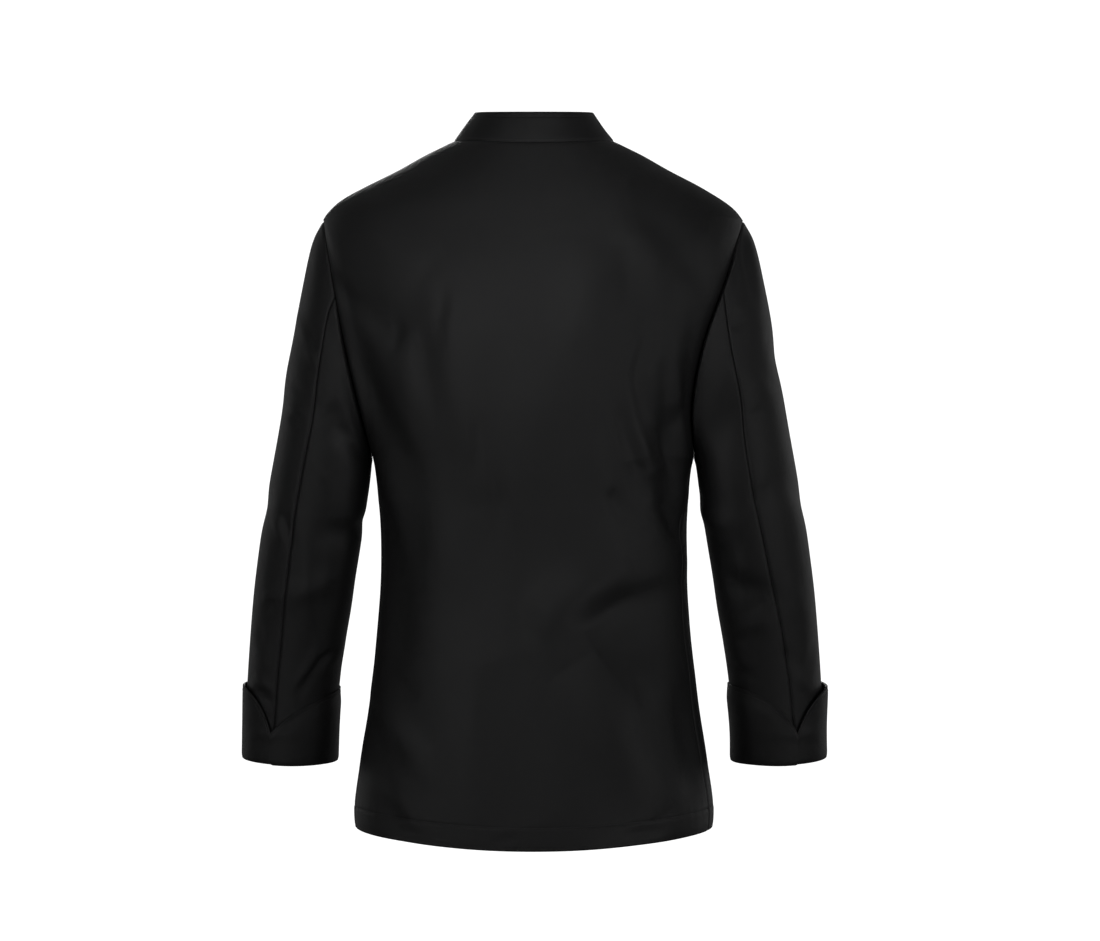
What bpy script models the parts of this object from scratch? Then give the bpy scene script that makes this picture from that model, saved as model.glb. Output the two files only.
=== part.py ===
"""Double-breasted chef jacket with a stand collar and turned-back cuffs, in the form it has when worn.

Metres, +Z up. The origin is the middle of the neck opening, where the wearer's neck and shoulders carry
the jacket. The front faces -Y and the wearer's left is +X. Every cloth piece is a thin wall with a small
gap to its neighbour at each seam.
"""

import math

import bmesh
import bpy
import numpy as np
from mathutils import Matrix

# ---------------------------------------------------------------- cloth and seams
WALL = 0.0016
DOUBLED_WALL = 0.0025
HALF_GAP = 0.00015
ARMHOLE_HALF_GAP = 0.0003
LAYER_STEP = 0.0026

# ---------------------------------------------------------------- body
# Level sections of the body, widest measure at the side: height, half width, half depth, middle in Y,
# and squareness (the exponent of the rounded section).
SECTION_COLUMNS = ("height", "half_width", "half_depth", "middle", "squareness")
SECTIONS = (
    (-0.765, 0.1945, 0.1310, 0.002, 2.25),
    (-0.737, 0.1969, 0.1300, 0.001, 2.28),
    (-0.680, 0.1909, 0.1265, -0.002, 2.30),
    (-0.614, 0.1810, 0.1205, -0.006, 2.30),
    (-0.548, 0.1738, 0.1145, -0.010, 2.30),
    (-0.471, 0.1694, 0.1110, -0.012, 2.30),
    (-0.394, 0.1716, 0.1140, -0.009, 2.30),
    (-0.347, 0.1775, 0.1175, -0.006, 2.32),
    (-0.270, 0.2100, 0.1215, -0.001, 2.35),
    (-0.200, 0.2300, 0.1190, 0.003, 2.32),
    (-0.140, 0.2420, 0.1110, 0.004, 2.22),
    (-0.087, 0.2310, 0.0980, 0.004, 2.10),
    (-0.075, 0.2215, 0.0950, 0.004, 2.05),
    (-0.053, 0.1890, 0.0890, 0.003, 1.98),
    (-0.031, 0.1474, 0.0820, 0.002, 1.90),
    (-0.0145, 0.1180, 0.0765, 0.001, 1.88),
    (-0.004, 0.0965, 0.0735, 0.000, 1.92),
    (0.004, 0.0810, 0.0715, 0.000, 2.00),
)
QUARTER_STEPS = 72
MEAN_QUARTER = 0.235

HEM_SIDE = -0.750
HEM_DIP = 0.0115
NECK_SIDE = 0.0
NECK_BACK_DIP = 0.0087
NECK_FRONT_DROP = 0.070
NECK_CURVE = 1.6

# ---------------------------------------------------------------- armholes
SHOULDER_TIP = -0.087
UNDERARM = -0.347
ARMHOLE_HALF_DEPTH = 0.060
# Distance of the armhole seam from the middle of the back, at each height.
ARMHOLE_LINES = {
    "left": ((-0.347, 0.1775), (-0.300, 0.1885), (-0.229, 0.2040), (-0.150, 0.2190), (-0.087, 0.2310)),
    "right": ((-0.347, 0.1760), (-0.300, 0.1715), (-0.229, 0.1820), (-0.150, 0.2095), (-0.087, 0.2295)),
}
# Place of the side seam round the body: 0 is the middle of the back, 1 the side, 2 the middle of the front.
SIDE_SEAM = {"left": 0.900, "right": 0.835}
SIDE_SEAM_EASE = 0.075

# ---------------------------------------------------------------- fronts
LAP_TOP = 0.085
LAP_WAIST = 0.064
LAP_WAIST_HEIGHT = -0.460
FLAP_DROP = 0.018
INSET_EASE = 0.022
INSET_MARGIN = 0.0275

# ---------------------------------------------------------------- collar
COLLAR_RISE = 0.033
COLLAR_SIDE_SHORTER = 0.002
COLLAR_LEAN_BACK = 0.008
COLLAR_LEAN_SIDE = 0.023
COLLAR_END = 1.984
COLLAR_CORNER = 0.11
COLLAR_CORNER_CUT = 0.38

# ---------------------------------------------------------------- sleeves
# Rings of the sleeve from the armhole to the wrist: outer and inner edge of each ring, half depth and
# middle in Y. Each ring is an ellipse, 0 degrees at its outer edge, 90 at the back, 180 at its inner edge.
RING_COLUMNS = ("outer_x", "outer_z", "inner_x", "inner_z", "half_depth", "middle")
RINGS = (
    (0.2310, -0.087, 0.1775, -0.347, 0.0600, 0.002),
    (0.2435, -0.112, 0.1780, -0.350, 0.0610, -0.001),
    (0.2545, -0.160, 0.1787, -0.355, 0.0610, -0.003),
    (0.2640, -0.210, 0.1797, -0.364, 0.0600, -0.006),
    (0.2722, -0.262, 0.1815, -0.378, 0.0590, -0.009),
    (0.2804, -0.310, 0.1845, -0.397, 0.0575, -0.013),
    (0.2892, -0.356, 0.1882, -0.421, 0.0560, -0.018),
    (0.2982, -0.400, 0.1930, -0.449, 0.0545, -0.024),
    (0.3052, -0.446, 0.1985, -0.480, 0.0525, -0.031),
    (0.3119, -0.494, 0.2038, -0.514, 0.0500, -0.039),
    (0.3169, -0.544, 0.2108, -0.552, 0.0475, -0.047),
    (0.3210, -0.596, 0.2175, -0.596, 0.0450, -0.054),
    (0.3237, -0.644, 0.2214, -0.644, 0.0435, -0.060),
    (0.3262, -0.700, 0.2235, -0.700, 0.0425, -0.066),
)
HEAD_BLEND = 3.6
SLEEVE_END = 12.45
# Angle of the sleeve's back seam from the armhole to the wrist, at even steps; the front seam is level.
BACK_SEAM = {
    "left": (71.0, 72.0, 72.0, 71.0, 73.0, 74.0, 72.0),
    "right": (66.0, 82.0, 89.0, 89.5, 85.0, 77.0, 72.0),
}
FRONT_SEAM = 236.0

# ---------------------------------------------------------------- cuffs
CUFF_TOP = -0.598
CUFF_BOTTOM = -0.6835
CUFF_BOTTOM_TILT = 0.004
CUFF_LOW_ANGLE = 120.0
CUFF_CLEARANCE = 0.0007
CUFF_STAND_OFF = 0.0022
CUFF_EVEN_SHARE = 0.35
NOTCH_DEPTH = 0.054
NOTCH_ANGLE = 70.0
# How fast the notch runs out, in degrees, towards the outer and the inner edge of the sleeve.
NOTCH_SPREAD = {"left": (21.0, 52.0), "right": (25.0, 30.0)}

# ---------------------------------------------------------------- buttons
BUTTON_RADIUS = 0.009
BUTTON_THICKNESS = 0.0034
BUTTON_RIM = 0.0016
BUTTON_DISH = 0.0008
BUTTON_SIDES = 16
BUTTON_LIFT = 0.0005
BUTTON_ROWS = 5
BUTTON_TOP = -0.125
BUTTON_PITCH = 0.088
BUTTON_EDGE = 0.020

# ---------------------------------------------------------------- mesh resolution
ROWS_BELOW_UNDERARM = 12
ROWS_IN_ARMHOLE = 14
ROWS_ABOVE_TIP = 6
BACK_COLUMNS = 26
FRONT_COLUMNS = 15
SLEEVE_ROWS = 20
UPPER_COLUMNS = 11
UNDER_COLUMNS = 9
COLLAR_COLUMNS = 40
COLLAR_ROWS = 3
CUFF_COLUMNS = 32
CUFF_ROWS = 4

# ---------------------------------------------------------------- folds
# A fold runs between two points as a soft ridge (height above zero) or trough (below zero).
# On the body a point is (place round the body, height); on a sleeve it is (angle, ring).
FOLD_COLUMNS = ("start", "end", "half_width", "height")
FOLD_END_HEIGHT = 0.35
FOLD_FADE = 0.026
HEAD_FOLD_FADE = 0.8
SLEEVE_FADE_START = 10.2
SLEEVE_FADE_END = 11.0
SLEEVE_RADIUS = 0.054
RING_PITCH = 0.046
BODY_FOLDS = (
    ((0.97, -0.105), (0.46, -0.190), 0.024, 0.0040),
    ((0.80, -0.225), (0.52, -0.400), 0.022, -0.0040),
    ((0.86, -0.300), (0.62, -0.470), 0.018, 0.0030),
    ((0.36, -0.150), (0.30, -0.330), 0.022, 0.0028),
    ((0.44, -0.185), (0.40, -0.300), 0.014, -0.0026),
    ((0.16, -0.170), (0.12, -0.340), 0.024, -0.0020),
    ((-0.06, -0.130), (-0.02, -0.380), 0.030, 0.0016),
    ((-0.18, -0.250), (-0.16, -0.390), 0.018, -0.0018),
    ((-0.46, -0.075), (-0.78, -0.125), 0.020, 0.0034),
    ((-0.40, -0.190), (-0.50, -0.330), 0.018, 0.0026),
    ((-0.50, -0.235), (-0.74, -0.430), 0.016, -0.0034),
    ((-0.60, -0.220), (-0.84, -0.400), 0.014, 0.0032),
    ((-0.66, -0.200), (-0.90, -0.345), 0.013, -0.0030),
    ((-0.30, -0.330), (-0.58, -0.480), 0.018, -0.0024),
    ((0.02, -0.470), (-0.62, -0.720), 0.040, 0.0036),
    ((-0.06, -0.560), (-0.40, -0.745), 0.028, -0.0030),
    ((0.78, -0.500), (0.60, -0.580), 0.028, -0.0036),
    ((0.56, -0.470), (0.10, -0.560), 0.026, -0.0020),
    ((0.70, -0.620), (0.44, -0.715), 0.018, 0.0036),
    ((0.76, -0.650), (0.54, -0.750), 0.016, -0.0034),
    ((0.34, -0.590), (0.24, -0.750), 0.024, 0.0020),
    ((-0.80, -0.560), (-0.66, -0.750), 0.026, -0.0028),
    ((1.22, -0.130), (1.52, -0.250), 0.022, 0.0032),
    ((1.16, -0.290), (1.56, -0.400), 0.018, -0.0030),
    ((1.20, -0.520), (1.60, -0.600), 0.024, 0.0026),
    ((-1.20, -0.140), (-1.50, -0.270), 0.022, 0.0030),
    ((-1.18, -0.310), (-1.54, -0.430), 0.017, -0.0030),
    ((-1.16, -0.500), (-1.52, -0.640), 0.024, -0.0026),
)
SLEEVE_FOLDS = {
    "left": (
        ((150.0, 2.2), (60.0, 4.4), 0.020, -0.0036),
        ((20.0, 3.4), (-50.0, 5.0), 0.018, 0.0026),
        ((200.0, 5.6), (110.0, 7.0), 0.016, -0.0032),
        ((40.0, 6.6), (-40.0, 7.6), 0.018, -0.0028),
        ((130.0, 8.2), (60.0, 9.2), 0.014, 0.0026),
        ((270.0, 6.8), (330.0, 7.4), 0.015, -0.0034),
        ((165.0, 10.1), (95.0, 11.4), 0.011, 0.0030),
        ((175.0, 10.8), (110.0, 11.8), 0.010, -0.0030),
        ((45.0, 10.4), (80.0, 11.5), 0.011, 0.0026),
    ),
    "right": (
        ((100.0, 0.6), (72.0, 3.6), 0.014, 0.0040),
        ((130.0, 1.4), (96.0, 4.6), 0.018, -0.0036),
        ((30.0, 3.0), (-40.0, 4.4), 0.018, -0.0030),
        ((190.0, 5.0), (120.0, 6.6), 0.016, 0.0030),
        ((60.0, 6.0), (-20.0, 7.4), 0.018, -0.0026),
        ((150.0, 8.0), (80.0, 9.0), 0.014, -0.0028),
        ((270.0, 6.4), (330.0, 7.2), 0.015, -0.0034),
        ((150.0, 10.4), (90.0, 11.5), 0.011, 0.0026),
        ((30.0, 10.2), (70.0, 11.4), 0.011, -0.0024),
    ),
}

# ---------------------------------------------------------------- finishes
BLACK_TWILL = {"color": (0.0135, 0.0135, 0.0140), "roughness": 0.86}
COLLAR_TWILL = {"color": (0.0130, 0.0130, 0.0135), "roughness": 0.84}
BLACK_BUTTON = {"color": (0.0090, 0.0090, 0.0095), "roughness": 0.38}

SIDES = {"left": 1.0, "right": -1.0}


def smooth_step(value):
    """Ease from 0 to 1 with level ends."""
    held = np.clip(value, 0.0, 1.0)
    return held * held * (3.0 - 2.0 * held)


def smooth_table(places, values, at):
    """Read a table on a smooth curve through its rows."""
    places = np.asarray(places, float)
    values = np.asarray(values, float)
    slopes = np.gradient(values, places)
    at = np.clip(at, places[0], places[-1])
    row = np.clip(np.searchsorted(places, at, side="right") - 1, 0, len(places) - 2)
    span = places[row + 1] - places[row]
    part = (at - places[row]) / span
    return (
        values[row] * (1 + 2 * part) * (1 - part) ** 2
        + slopes[row] * span * part * (1 - part) ** 2
        + values[row + 1] * part ** 2 * (3 - 2 * part)
        + slopes[row + 1] * span * part ** 2 * (part - 1)
    )


def unit(vectors):
    """Scale vectors to length one."""
    return vectors / np.linalg.norm(vectors, axis=-1, keepdims=True)


def section_value(column, height):
    """Read one column of the body's sections at a height."""
    heights = [row[0] for row in SECTIONS]
    values = [row[SECTION_COLUMNS.index(column)] for row in SECTIONS]
    return smooth_table(heights, values, height)


def armhole_line(side, height):
    """Distance of the armhole seam from the middle of the body."""
    heights = [row[0] for row in ARMHOLE_LINES[side]]
    distances = [row[1] for row in ARMHOLE_LINES[side]]
    return smooth_table(heights, distances, height)


def armhole_depth(height):
    """Half the depth of the armhole at a height."""
    middle = (SHOULDER_TIP + UNDERARM) / 2
    reach = (SHOULDER_TIP - UNDERARM) / 2
    return ARMHOLE_HALF_DEPTH * np.sqrt(np.clip(1 - ((height - middle) / reach) ** 2, 0.0, 1.0))


def half_width(side, height):
    """Half width of the body, drawn past the armhole between the underarm and the shoulder tip."""
    depth = section_value("half_depth", height)
    squareness = section_value("squareness", height)
    hidden = (1 - (armhole_depth(height) / depth) ** squareness) ** (1 / squareness)
    past = armhole_line(side, height) / hidden
    tip_change = armhole_line(side, SHOULDER_TIP) - section_value("half_width", SHOULDER_TIP)
    underarm_change = armhole_line(side, UNDERARM) - section_value("half_width", UNDERARM)
    fade_up = smooth_step((NECK_SIDE - height) / (NECK_SIDE - SHOULDER_TIP))
    fade_down = smooth_step((height - LAP_WAIST_HEIGHT) / (UNDERARM - LAP_WAIST_HEIGHT))
    plain = section_value("half_width", height)
    plain = plain + np.where(height > SHOULDER_TIP, tip_change * fade_up, underarm_change * fade_down)
    return np.where((height > UNDERARM) & (height < SHOULDER_TIP), past, plain)


def quarter(side, height):
    """Points and running length, as a share of the whole, of a quarter section from the middle out."""
    angle = np.linspace(0.0, math.pi / 2, QUARTER_STEPS)
    power = 2 / section_value("squareness", height)[..., None]
    across = half_width(side, height)[..., None] * np.sin(angle) ** power
    deep = section_value("half_depth", height)[..., None] * np.cos(angle).clip(0.0, 1.0) ** power
    steps = np.hypot(np.diff(across), np.diff(deep))
    length = np.concatenate([np.zeros(steps.shape[:-1] + (1,)), np.cumsum(steps, axis=-1)], axis=-1)
    return across, deep, length / length[..., -1:], length[..., -1]


def read_rows(at, xs, ys):
    """Interpolate each row of a table at that row's own place."""
    row = np.clip((xs <= at[..., None]).sum(axis=-1) - 1, 0, xs.shape[-1] - 2)[..., None]
    low = np.take_along_axis(xs, row, -1)[..., 0]
    high = np.take_along_axis(xs, row + 1, -1)[..., 0]
    first = np.take_along_axis(ys, row, -1)[..., 0]
    second = np.take_along_axis(ys, row + 1, -1)[..., 0]
    return first + (second - first) * (at - low) / (high - low)


def place_at_distance(side, distance, height):
    """Share of the quarter section at which the body is this far from its middle."""
    across, _, share, _ = quarter(side, height)
    return read_rows(np.minimum(distance, across[..., -1]), across, share)


def body_base(place, height):
    """Point on the smooth body. Place 0 is the middle of the back, +1 the left side, +-2 the front."""
    place = np.mod(place + 2.0, 4.0) - 2.0
    turn = np.abs(place)
    share = np.where(turn <= 1.0, turn, 2.0 - turn)
    result = np.empty(place.shape + (3,))
    for side, sign in SIDES.items():
        chosen = (place >= 0) if sign > 0 else (place < 0)
        across, deep, length_share, _ = quarter(side, height[chosen])
        x = read_rows(share[chosen], length_share, across)
        y = read_rows(share[chosen], length_share, deep)
        facing = np.where(turn[chosen] <= 1.0, 1.0, -1.0)
        middle = section_value("middle", height[chosen])
        result[chosen] = np.stack([sign * x, middle + facing * y, height[chosen]], axis=-1)
    return result


def body_normal(place, height):
    """Outward direction of the smooth body."""
    step = 0.004
    round_body = body_base(place + step, height) - body_base(place - step, height)
    up_body = body_base(place, height + step) - body_base(place, height - step)
    return unit(np.cross(up_body, round_body))


def fold_height(folds, across, along, across_scale, along_scale):
    """Sum of the folds at a point. The scales turn places into metres."""
    total = np.zeros(np.shape(across))
    for start, end, width, height in folds:
        run = np.array([(end[0] - start[0]) * across_scale, (end[1] - start[1]) * along_scale])
        offset_u = (across - start[0]) * across_scale
        offset_v = (along - start[1]) * along_scale
        part = (offset_u * run[0] + offset_v * run[1]) / (run @ run)
        held = np.clip(part, 0.0, 1.0)
        distance = np.hypot(offset_u - held * run[0], offset_v - held * run[1])
        swell = FOLD_END_HEIGHT + (1 - FOLD_END_HEIGHT) * np.sin(np.pi * held)
        total = total + height * swell * np.exp(-((distance / width) ** 2))
    return total


def armhole_clearance(place, height):
    """Distance, round the body, from the armhole seam of the point's own side."""
    place = np.mod(place + 2.0, 4.0) - 2.0
    turn = np.minimum(np.abs(place), 2.0 - np.abs(place))
    clearance = np.full(place.shape, 1.0)
    for side, sign in SIDES.items():
        chosen = (place * sign >= 0) & (height > UNDERARM) & (height < SHOULDER_TIP)
        seam = place_at_distance(side, armhole_line(side, height[chosen]), height[chosen])
        clearance[chosen] = np.maximum(seam - turn[chosen], 0.0) * MEAN_QUARTER
    beyond = np.maximum(height - SHOULDER_TIP, UNDERARM - height)
    off_side = (1.0 - turn) * MEAN_QUARTER
    return np.where(beyond >= 0, np.hypot(beyond, off_side), clearance)


def body_folds(place, height):
    """Height of the body's folds, fading to nothing at the armholes and the neck."""
    place = np.mod(place + 2.0, 4.0) - 2.0
    fade = smooth_step(armhole_clearance(place, height) / FOLD_FADE)
    fade = fade * smooth_step((neck_height(place) - height) / FOLD_FADE)
    return fade * fold_height(BODY_FOLDS, place, height, MEAN_QUARTER, 1.0)


def neck_height(place):
    """Height of the neck seam round the body."""
    turn = np.abs(place)
    back = NECK_SIDE - NECK_BACK_DIP * np.cos(np.minimum(turn, 1.0) * math.pi / 2) ** 2
    front = NECK_FRONT_DROP * smooth_step(np.clip(turn - 1.0, 0.0, 1.0) ** NECK_CURVE)
    return back - front


def hem_height(place):
    """Height of the hem round the body."""
    return HEM_SIDE - HEM_DIP * np.cos(place * math.pi / 2) ** 2


def side_rows(side):
    """Height and place of the back's side edge, from the hem over the armhole to the neck."""
    low = np.linspace(HEM_SIDE, UNDERARM, ROWS_BELOW_UNDERARM + 1)
    ease = smooth_step((low - UNDERARM + SIDE_SEAM_EASE) / SIDE_SEAM_EASE)
    low_place = SIDE_SEAM[side] + (1.0 - SIDE_SEAM[side]) * ease
    angle = np.linspace(math.pi, 0.0, ROWS_IN_ARMHOLE + 1)[1:-1]
    arm = (SHOULDER_TIP + UNDERARM) / 2 + (SHOULDER_TIP - UNDERARM) / 2 * np.cos(angle)
    arm_place = place_at_distance(side, armhole_line(side, arm) - ARMHOLE_HALF_GAP, arm)
    high = np.linspace(SHOULDER_TIP, NECK_SIDE, ROWS_ABOVE_TIP + 1)
    heights = np.concatenate([low, arm, high])
    places = np.concatenate([low_place, arm_place, np.ones(len(high))])
    in_armhole = np.zeros(len(heights), bool)
    in_armhole[len(low) - 1:len(low) + len(arm) + 1] = True
    return heights, places, in_armhole


def seam_pull(side, height):
    """Half the seam gap, as a place round the body."""
    return HALF_GAP / quarter(side, height)[3]


def armhole_normal(side, height):
    """Outward direction of the armhole's edge, in the plane of the armhole."""
    middle = (SHOULDER_TIP + UNDERARM) / 2
    reach = (SHOULDER_TIP - UNDERARM) / 2
    cosine = np.clip((height - middle) / reach, -1.0, 1.0)
    sine = np.sqrt(1 - cosine ** 2)
    lean = armhole_line(side, SHOULDER_TIP) - armhole_line(side, UNDERARM)
    length = math.hypot(lean, 2 * reach)
    along = cosine / reach
    return unit(np.stack([along * lean / length, sine / ARMHOLE_HALF_DEPTH, along * 2 * reach / length], -1))


def collar_lean(place):
    """How far the collar leans in over its height, and how far it rises."""
    sideways = np.sin(place * math.pi / 2) ** 2
    lean = COLLAR_LEAN_BACK + (COLLAR_LEAN_SIDE - COLLAR_LEAN_BACK) * sideways
    return lean, COLLAR_RISE - COLLAR_SIDE_SHORTER * sideways


def collar_direction(place, height):
    """Vector from the foot of the collar to its top edge."""
    outward = body_normal(place, height) * np.array([1.0, 1.0, 0.0])
    lean, rise = collar_lean(place)
    return -unit(outward) * lean[..., None] + np.array([0.0, 0.0, 1.0]) * rise[..., None]


def neck_mitre(place, height):
    """Direction of the wall's edge where the collar meets the body."""
    step = 0.01
    after = body_base(place + step, neck_height(place + step))
    before = body_base(place - step, neck_height(place - step))
    along = after - before
    collar_normal = unit(np.cross(collar_direction(place, height), along))
    return unit(body_normal(place, height) + collar_normal)


def covered(x, height):
    """How much of the under front lies below the outer front: 1 where covered, 0 well clear of it."""
    lap = lap_width(height)
    top = -NECK_FRONT_DROP - FLAP_DROP * np.clip(-x / LAP_TOP, 0.0, 2.0) ** 2
    beside = smooth_step((x + lap + INSET_MARGIN) / INSET_EASE)
    below = smooth_step((top - height + INSET_MARGIN) / INSET_EASE)
    return beside * below


def lap_width(height):
    """Distance of the overlap's edge from the middle of the front."""
    part = smooth_step((height - LAP_WAIST_HEIGHT) / (-NECK_FRONT_DROP - LAP_WAIST_HEIGHT))
    return LAP_WAIST + (LAP_TOP - LAP_WAIST) * part


def shell(name, outer, inner, closed_round=False):
    """Make one solid wall between an outer and an inner grid of points."""
    rows, columns = outer.shape[:2]
    mesh = bmesh.new()
    grids = []
    for grid in (outer, inner):
        grids.append([[mesh.verts.new(point) for point in row] for row in grid])
    span = columns if closed_round else columns - 1
    for r in range(rows - 1):
        for c in range(span):
            n = (c + 1) % columns
            for grid, order in zip(grids, (1, -1)):
                corners = [grid[r][c], grid[r][n], grid[r + 1][n], grid[r + 1][c]]
                mesh.faces.new(corners[::order])
    rim = []
    for c in range(span):
        n = (c + 1) % columns
        rim.append(((0, n), (0, c)))
        rim.append(((rows - 1, c), (rows - 1, n)))
    if not closed_round:
        for r in range(rows - 1):
            rim.append(((r, 0), (r + 1, 0)))
            rim.append(((r + 1, columns - 1), (r, columns - 1)))
    for (r0, c0), (r1, c1) in rim:
        mesh.faces.new([grids[0][r0][c0], grids[0][r1][c1], grids[1][r1][c1], grids[1][r0][c0]])
    bmesh.ops.recalc_face_normals(mesh, faces=mesh.faces)
    data = bpy.data.meshes.new(name)
    mesh.to_mesh(data)
    mesh.free()
    return data


def body_panel(place, height, normal_edges, wall=WALL, under_layer=False):
    """Outer and inner points of a body panel from its places and heights."""
    base = body_base(place, height)
    normal = body_normal(place, height)
    lift = body_folds(place, height)
    if under_layer:
        lift = lift - LAYER_STEP * covered(base[..., 0], height)
    thickness = normal.copy()
    for chosen, direction in normal_edges:
        thickness[chosen] = direction
    outer = base + normal * lift[..., None]
    return outer, outer - thickness * wall


def make_back():
    """Back panel, shoulder to hem."""
    heights, left, in_armhole = side_rows("left")
    _, right, _ = side_rows("right")
    share = (heights - HEM_SIDE) / (NECK_SIDE - HEM_SIDE)
    across = np.linspace(1.0, -1.0, BACK_COLUMNS + 1)
    seam = ~in_armhole
    left = left - np.where(seam, seam_pull("left", heights), 0.0)
    right = right - np.where(seam, seam_pull("right", heights), 0.0)
    place = np.where(across[None, :] > 0, across[None, :] * left[:, None], across[None, :] * right[:, None])
    bottom = hem_height(place)
    top = neck_height(across)[None, :] - HALF_GAP
    height = bottom + (top - bottom) * share[:, None]
    height[:, 0] = heights
    height[:, -1] = heights
    height[-1, :] = top
    height[0, :] = bottom[0]
    edges = armhole_edges(in_armhole, heights, height, columns=(0, -1), sides=("left", "right"), facing=1.0)
    top_row = np.zeros(place.shape, bool)
    top_row[-1] = True
    edges.append((top_row, neck_mitre(place[-1], height[-1])))
    return shell("back", *body_panel(place, height, edges))


def armhole_edges(in_armhole, heights, grid, columns, sides, facing):
    """Edge directions of a panel along its armholes."""
    edges = []
    for column, side in zip(columns, sides):
        chosen = np.zeros(grid.shape, bool)
        chosen[in_armhole, column] = True
        direction = armhole_normal(side, heights[in_armhole])
        edges.append((chosen, direction * np.array([SIDES[side], facing, 1.0])))
    return edges


def make_front(side):
    """One front panel, from its side seam past the middle to the edge of the overlap."""
    sign = SIDES[side]
    heights, places, in_armhole = side_rows(side)
    share = (heights - HEM_SIDE) / (NECK_SIDE - HEM_SIDE)
    start = np.where(in_armhole, 2.0 - places, places + seam_pull(side, heights))
    corner = -NECK_FRONT_DROP - FLAP_DROP
    edge_height = HEM_SIDE - HEM_DIP + (corner - HEM_SIDE + HEM_DIP) * share
    other = "right" if side == "left" else "left"
    end = 2.0 + place_at_distance(other, lap_width(edge_height), edge_height)
    across = np.linspace(0.0, 1.0, FRONT_COLUMNS + 1)
    place = start[:, None] + (end - start)[:, None] * across[None, :]
    past = np.clip((place[-1] - 2.0) / (end[-1] - 2.0), 0.0, 1.0)
    top = neck_height(np.minimum(place[-1], 2.0)) - FLAP_DROP * past ** 2 - HALF_GAP
    bottom = hem_height(place)
    height = bottom + (top[None, :] - bottom) * share[:, None]
    height[:, 0] = heights
    height[-1, :] = top
    edges = armhole_edges(in_armhole, heights, height, columns=(0,), sides=(side,), facing=-1.0)
    for chosen, direction in edges:
        direction[:, 0] *= sign
    top_row = np.zeros(place.shape, bool)
    top_row[-1] = place[-1] <= COLLAR_END
    edges.append((top_row, neck_mitre(place[-1][top_row[-1]], height[-1][top_row[-1]])))
    if side == "left":
        return shell("front_left", *body_panel(place, height, edges))
    mirrored = []
    for chosen, direction in edges:
        mirrored.append((chosen, direction * np.array([-1.0, 1.0, 1.0])))
    return shell("front_right", *body_panel(-place, height, mirrored, under_layer=True))


def ring_value(column, ring):
    """Read one column of the sleeve's rings."""
    values = [row[RING_COLUMNS.index(column)] for row in RINGS]
    return smooth_table(range(len(RINGS)), values, ring)


def sleeve_base(side, angle, ring):
    """Point on the smooth sleeve, on the side of the jacket it belongs to."""
    cosine = np.cos(angle)
    sine = np.sin(angle)
    outer_x, outer_z = ring_value("outer_x", ring), ring_value("outer_z", ring)
    inner_x, inner_z = ring_value("inner_x", ring), ring_value("inner_z", ring)
    x = (outer_x + inner_x) / 2 + (outer_x - inner_x) / 2 * cosine
    z = (outer_z + inner_z) / 2 + (outer_z - inner_z) / 2 * cosine
    y = ring_value("middle", ring) + ring_value("half_depth", ring) * sine
    first_z = (SHOULDER_TIP + UNDERARM) / 2 + (SHOULDER_TIP - UNDERARM) / 2 * cosine
    first_x = (RINGS[0][0] + RINGS[0][2]) / 2 + (RINGS[0][0] - RINGS[0][2]) / 2 * cosine
    fade = 1 - smooth_step(ring / HEAD_BLEND)
    x = x + fade * (armhole_line(side, first_z) + ARMHOLE_HALF_GAP - first_x)
    y = y + fade * (section_value("middle", first_z) + (ARMHOLE_HALF_DEPTH - RINGS[0][4]) * sine - RINGS[0][5])
    return np.stack([SIDES[side] * x, y, z], axis=-1)


def sleeve_normal(side, angle, ring):
    """Outward direction of the smooth sleeve."""
    step = 0.02
    low = np.maximum(ring - step, 0.0)
    high = np.minimum(ring + step, len(RINGS) - 1.0)
    round_sleeve = sleeve_base(side, angle + step, ring) - sleeve_base(side, angle - step, ring)
    down_sleeve = sleeve_base(side, angle, high) - sleeve_base(side, angle, low)
    return unit(np.cross(round_sleeve, down_sleeve)) * -SIDES[side]


def sleeve_folds(side, angle, ring):
    """Height of the sleeve's folds."""
    degrees = np.degrees(angle)
    total = 0.0
    for turn in (-360.0, 0.0, 360.0):
        around = SLEEVE_RADIUS * math.pi / 180
        total = total + fold_height(SLEEVE_FOLDS[side], degrees + turn, ring, around, RING_PITCH)
    at_cuff = smooth_step((ring - SLEEVE_FADE_START) / (SLEEVE_FADE_END - SLEEVE_FADE_START))
    return total * smooth_step(ring / HEAD_FOLD_FADE) * (1 - at_cuff)


def sleeve_panel(side, name, from_angle, to_angle, columns):
    """One panel of a sleeve between two seams, whose angles may change from ring to ring."""
    ring = np.linspace(0.0, SLEEVE_END, SLEEVE_ROWS + 1)
    across = np.linspace(0.0, 1.0, columns + 1)
    start, end = from_angle(ring), to_angle(ring)
    pull = HALF_GAP / ring_value("half_depth", ring)
    start, end = start + pull, end - pull
    angle = start[:, None] + (end - start)[:, None] * across[None, :]
    rings = np.repeat(ring[:, None], columns + 1, axis=1)
    normal = sleeve_normal(side, angle, rings)
    outer = sleeve_base(side, angle, rings) + normal * sleeve_folds(side, angle, rings)[..., None]
    thickness = normal.copy()
    first_z = (SHOULDER_TIP + UNDERARM) / 2 + (SHOULDER_TIP - UNDERARM) / 2 * np.cos(angle[0])
    facing = np.where(np.sin(angle[0]) >= 0, 1.0, -1.0)
    edge = armhole_normal(side, first_z)
    thickness[0] = edge * np.stack([np.full(columns + 1, SIDES[side]), facing, np.ones(columns + 1)], axis=-1)
    return shell(name, outer, outer - thickness * WALL)


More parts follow.
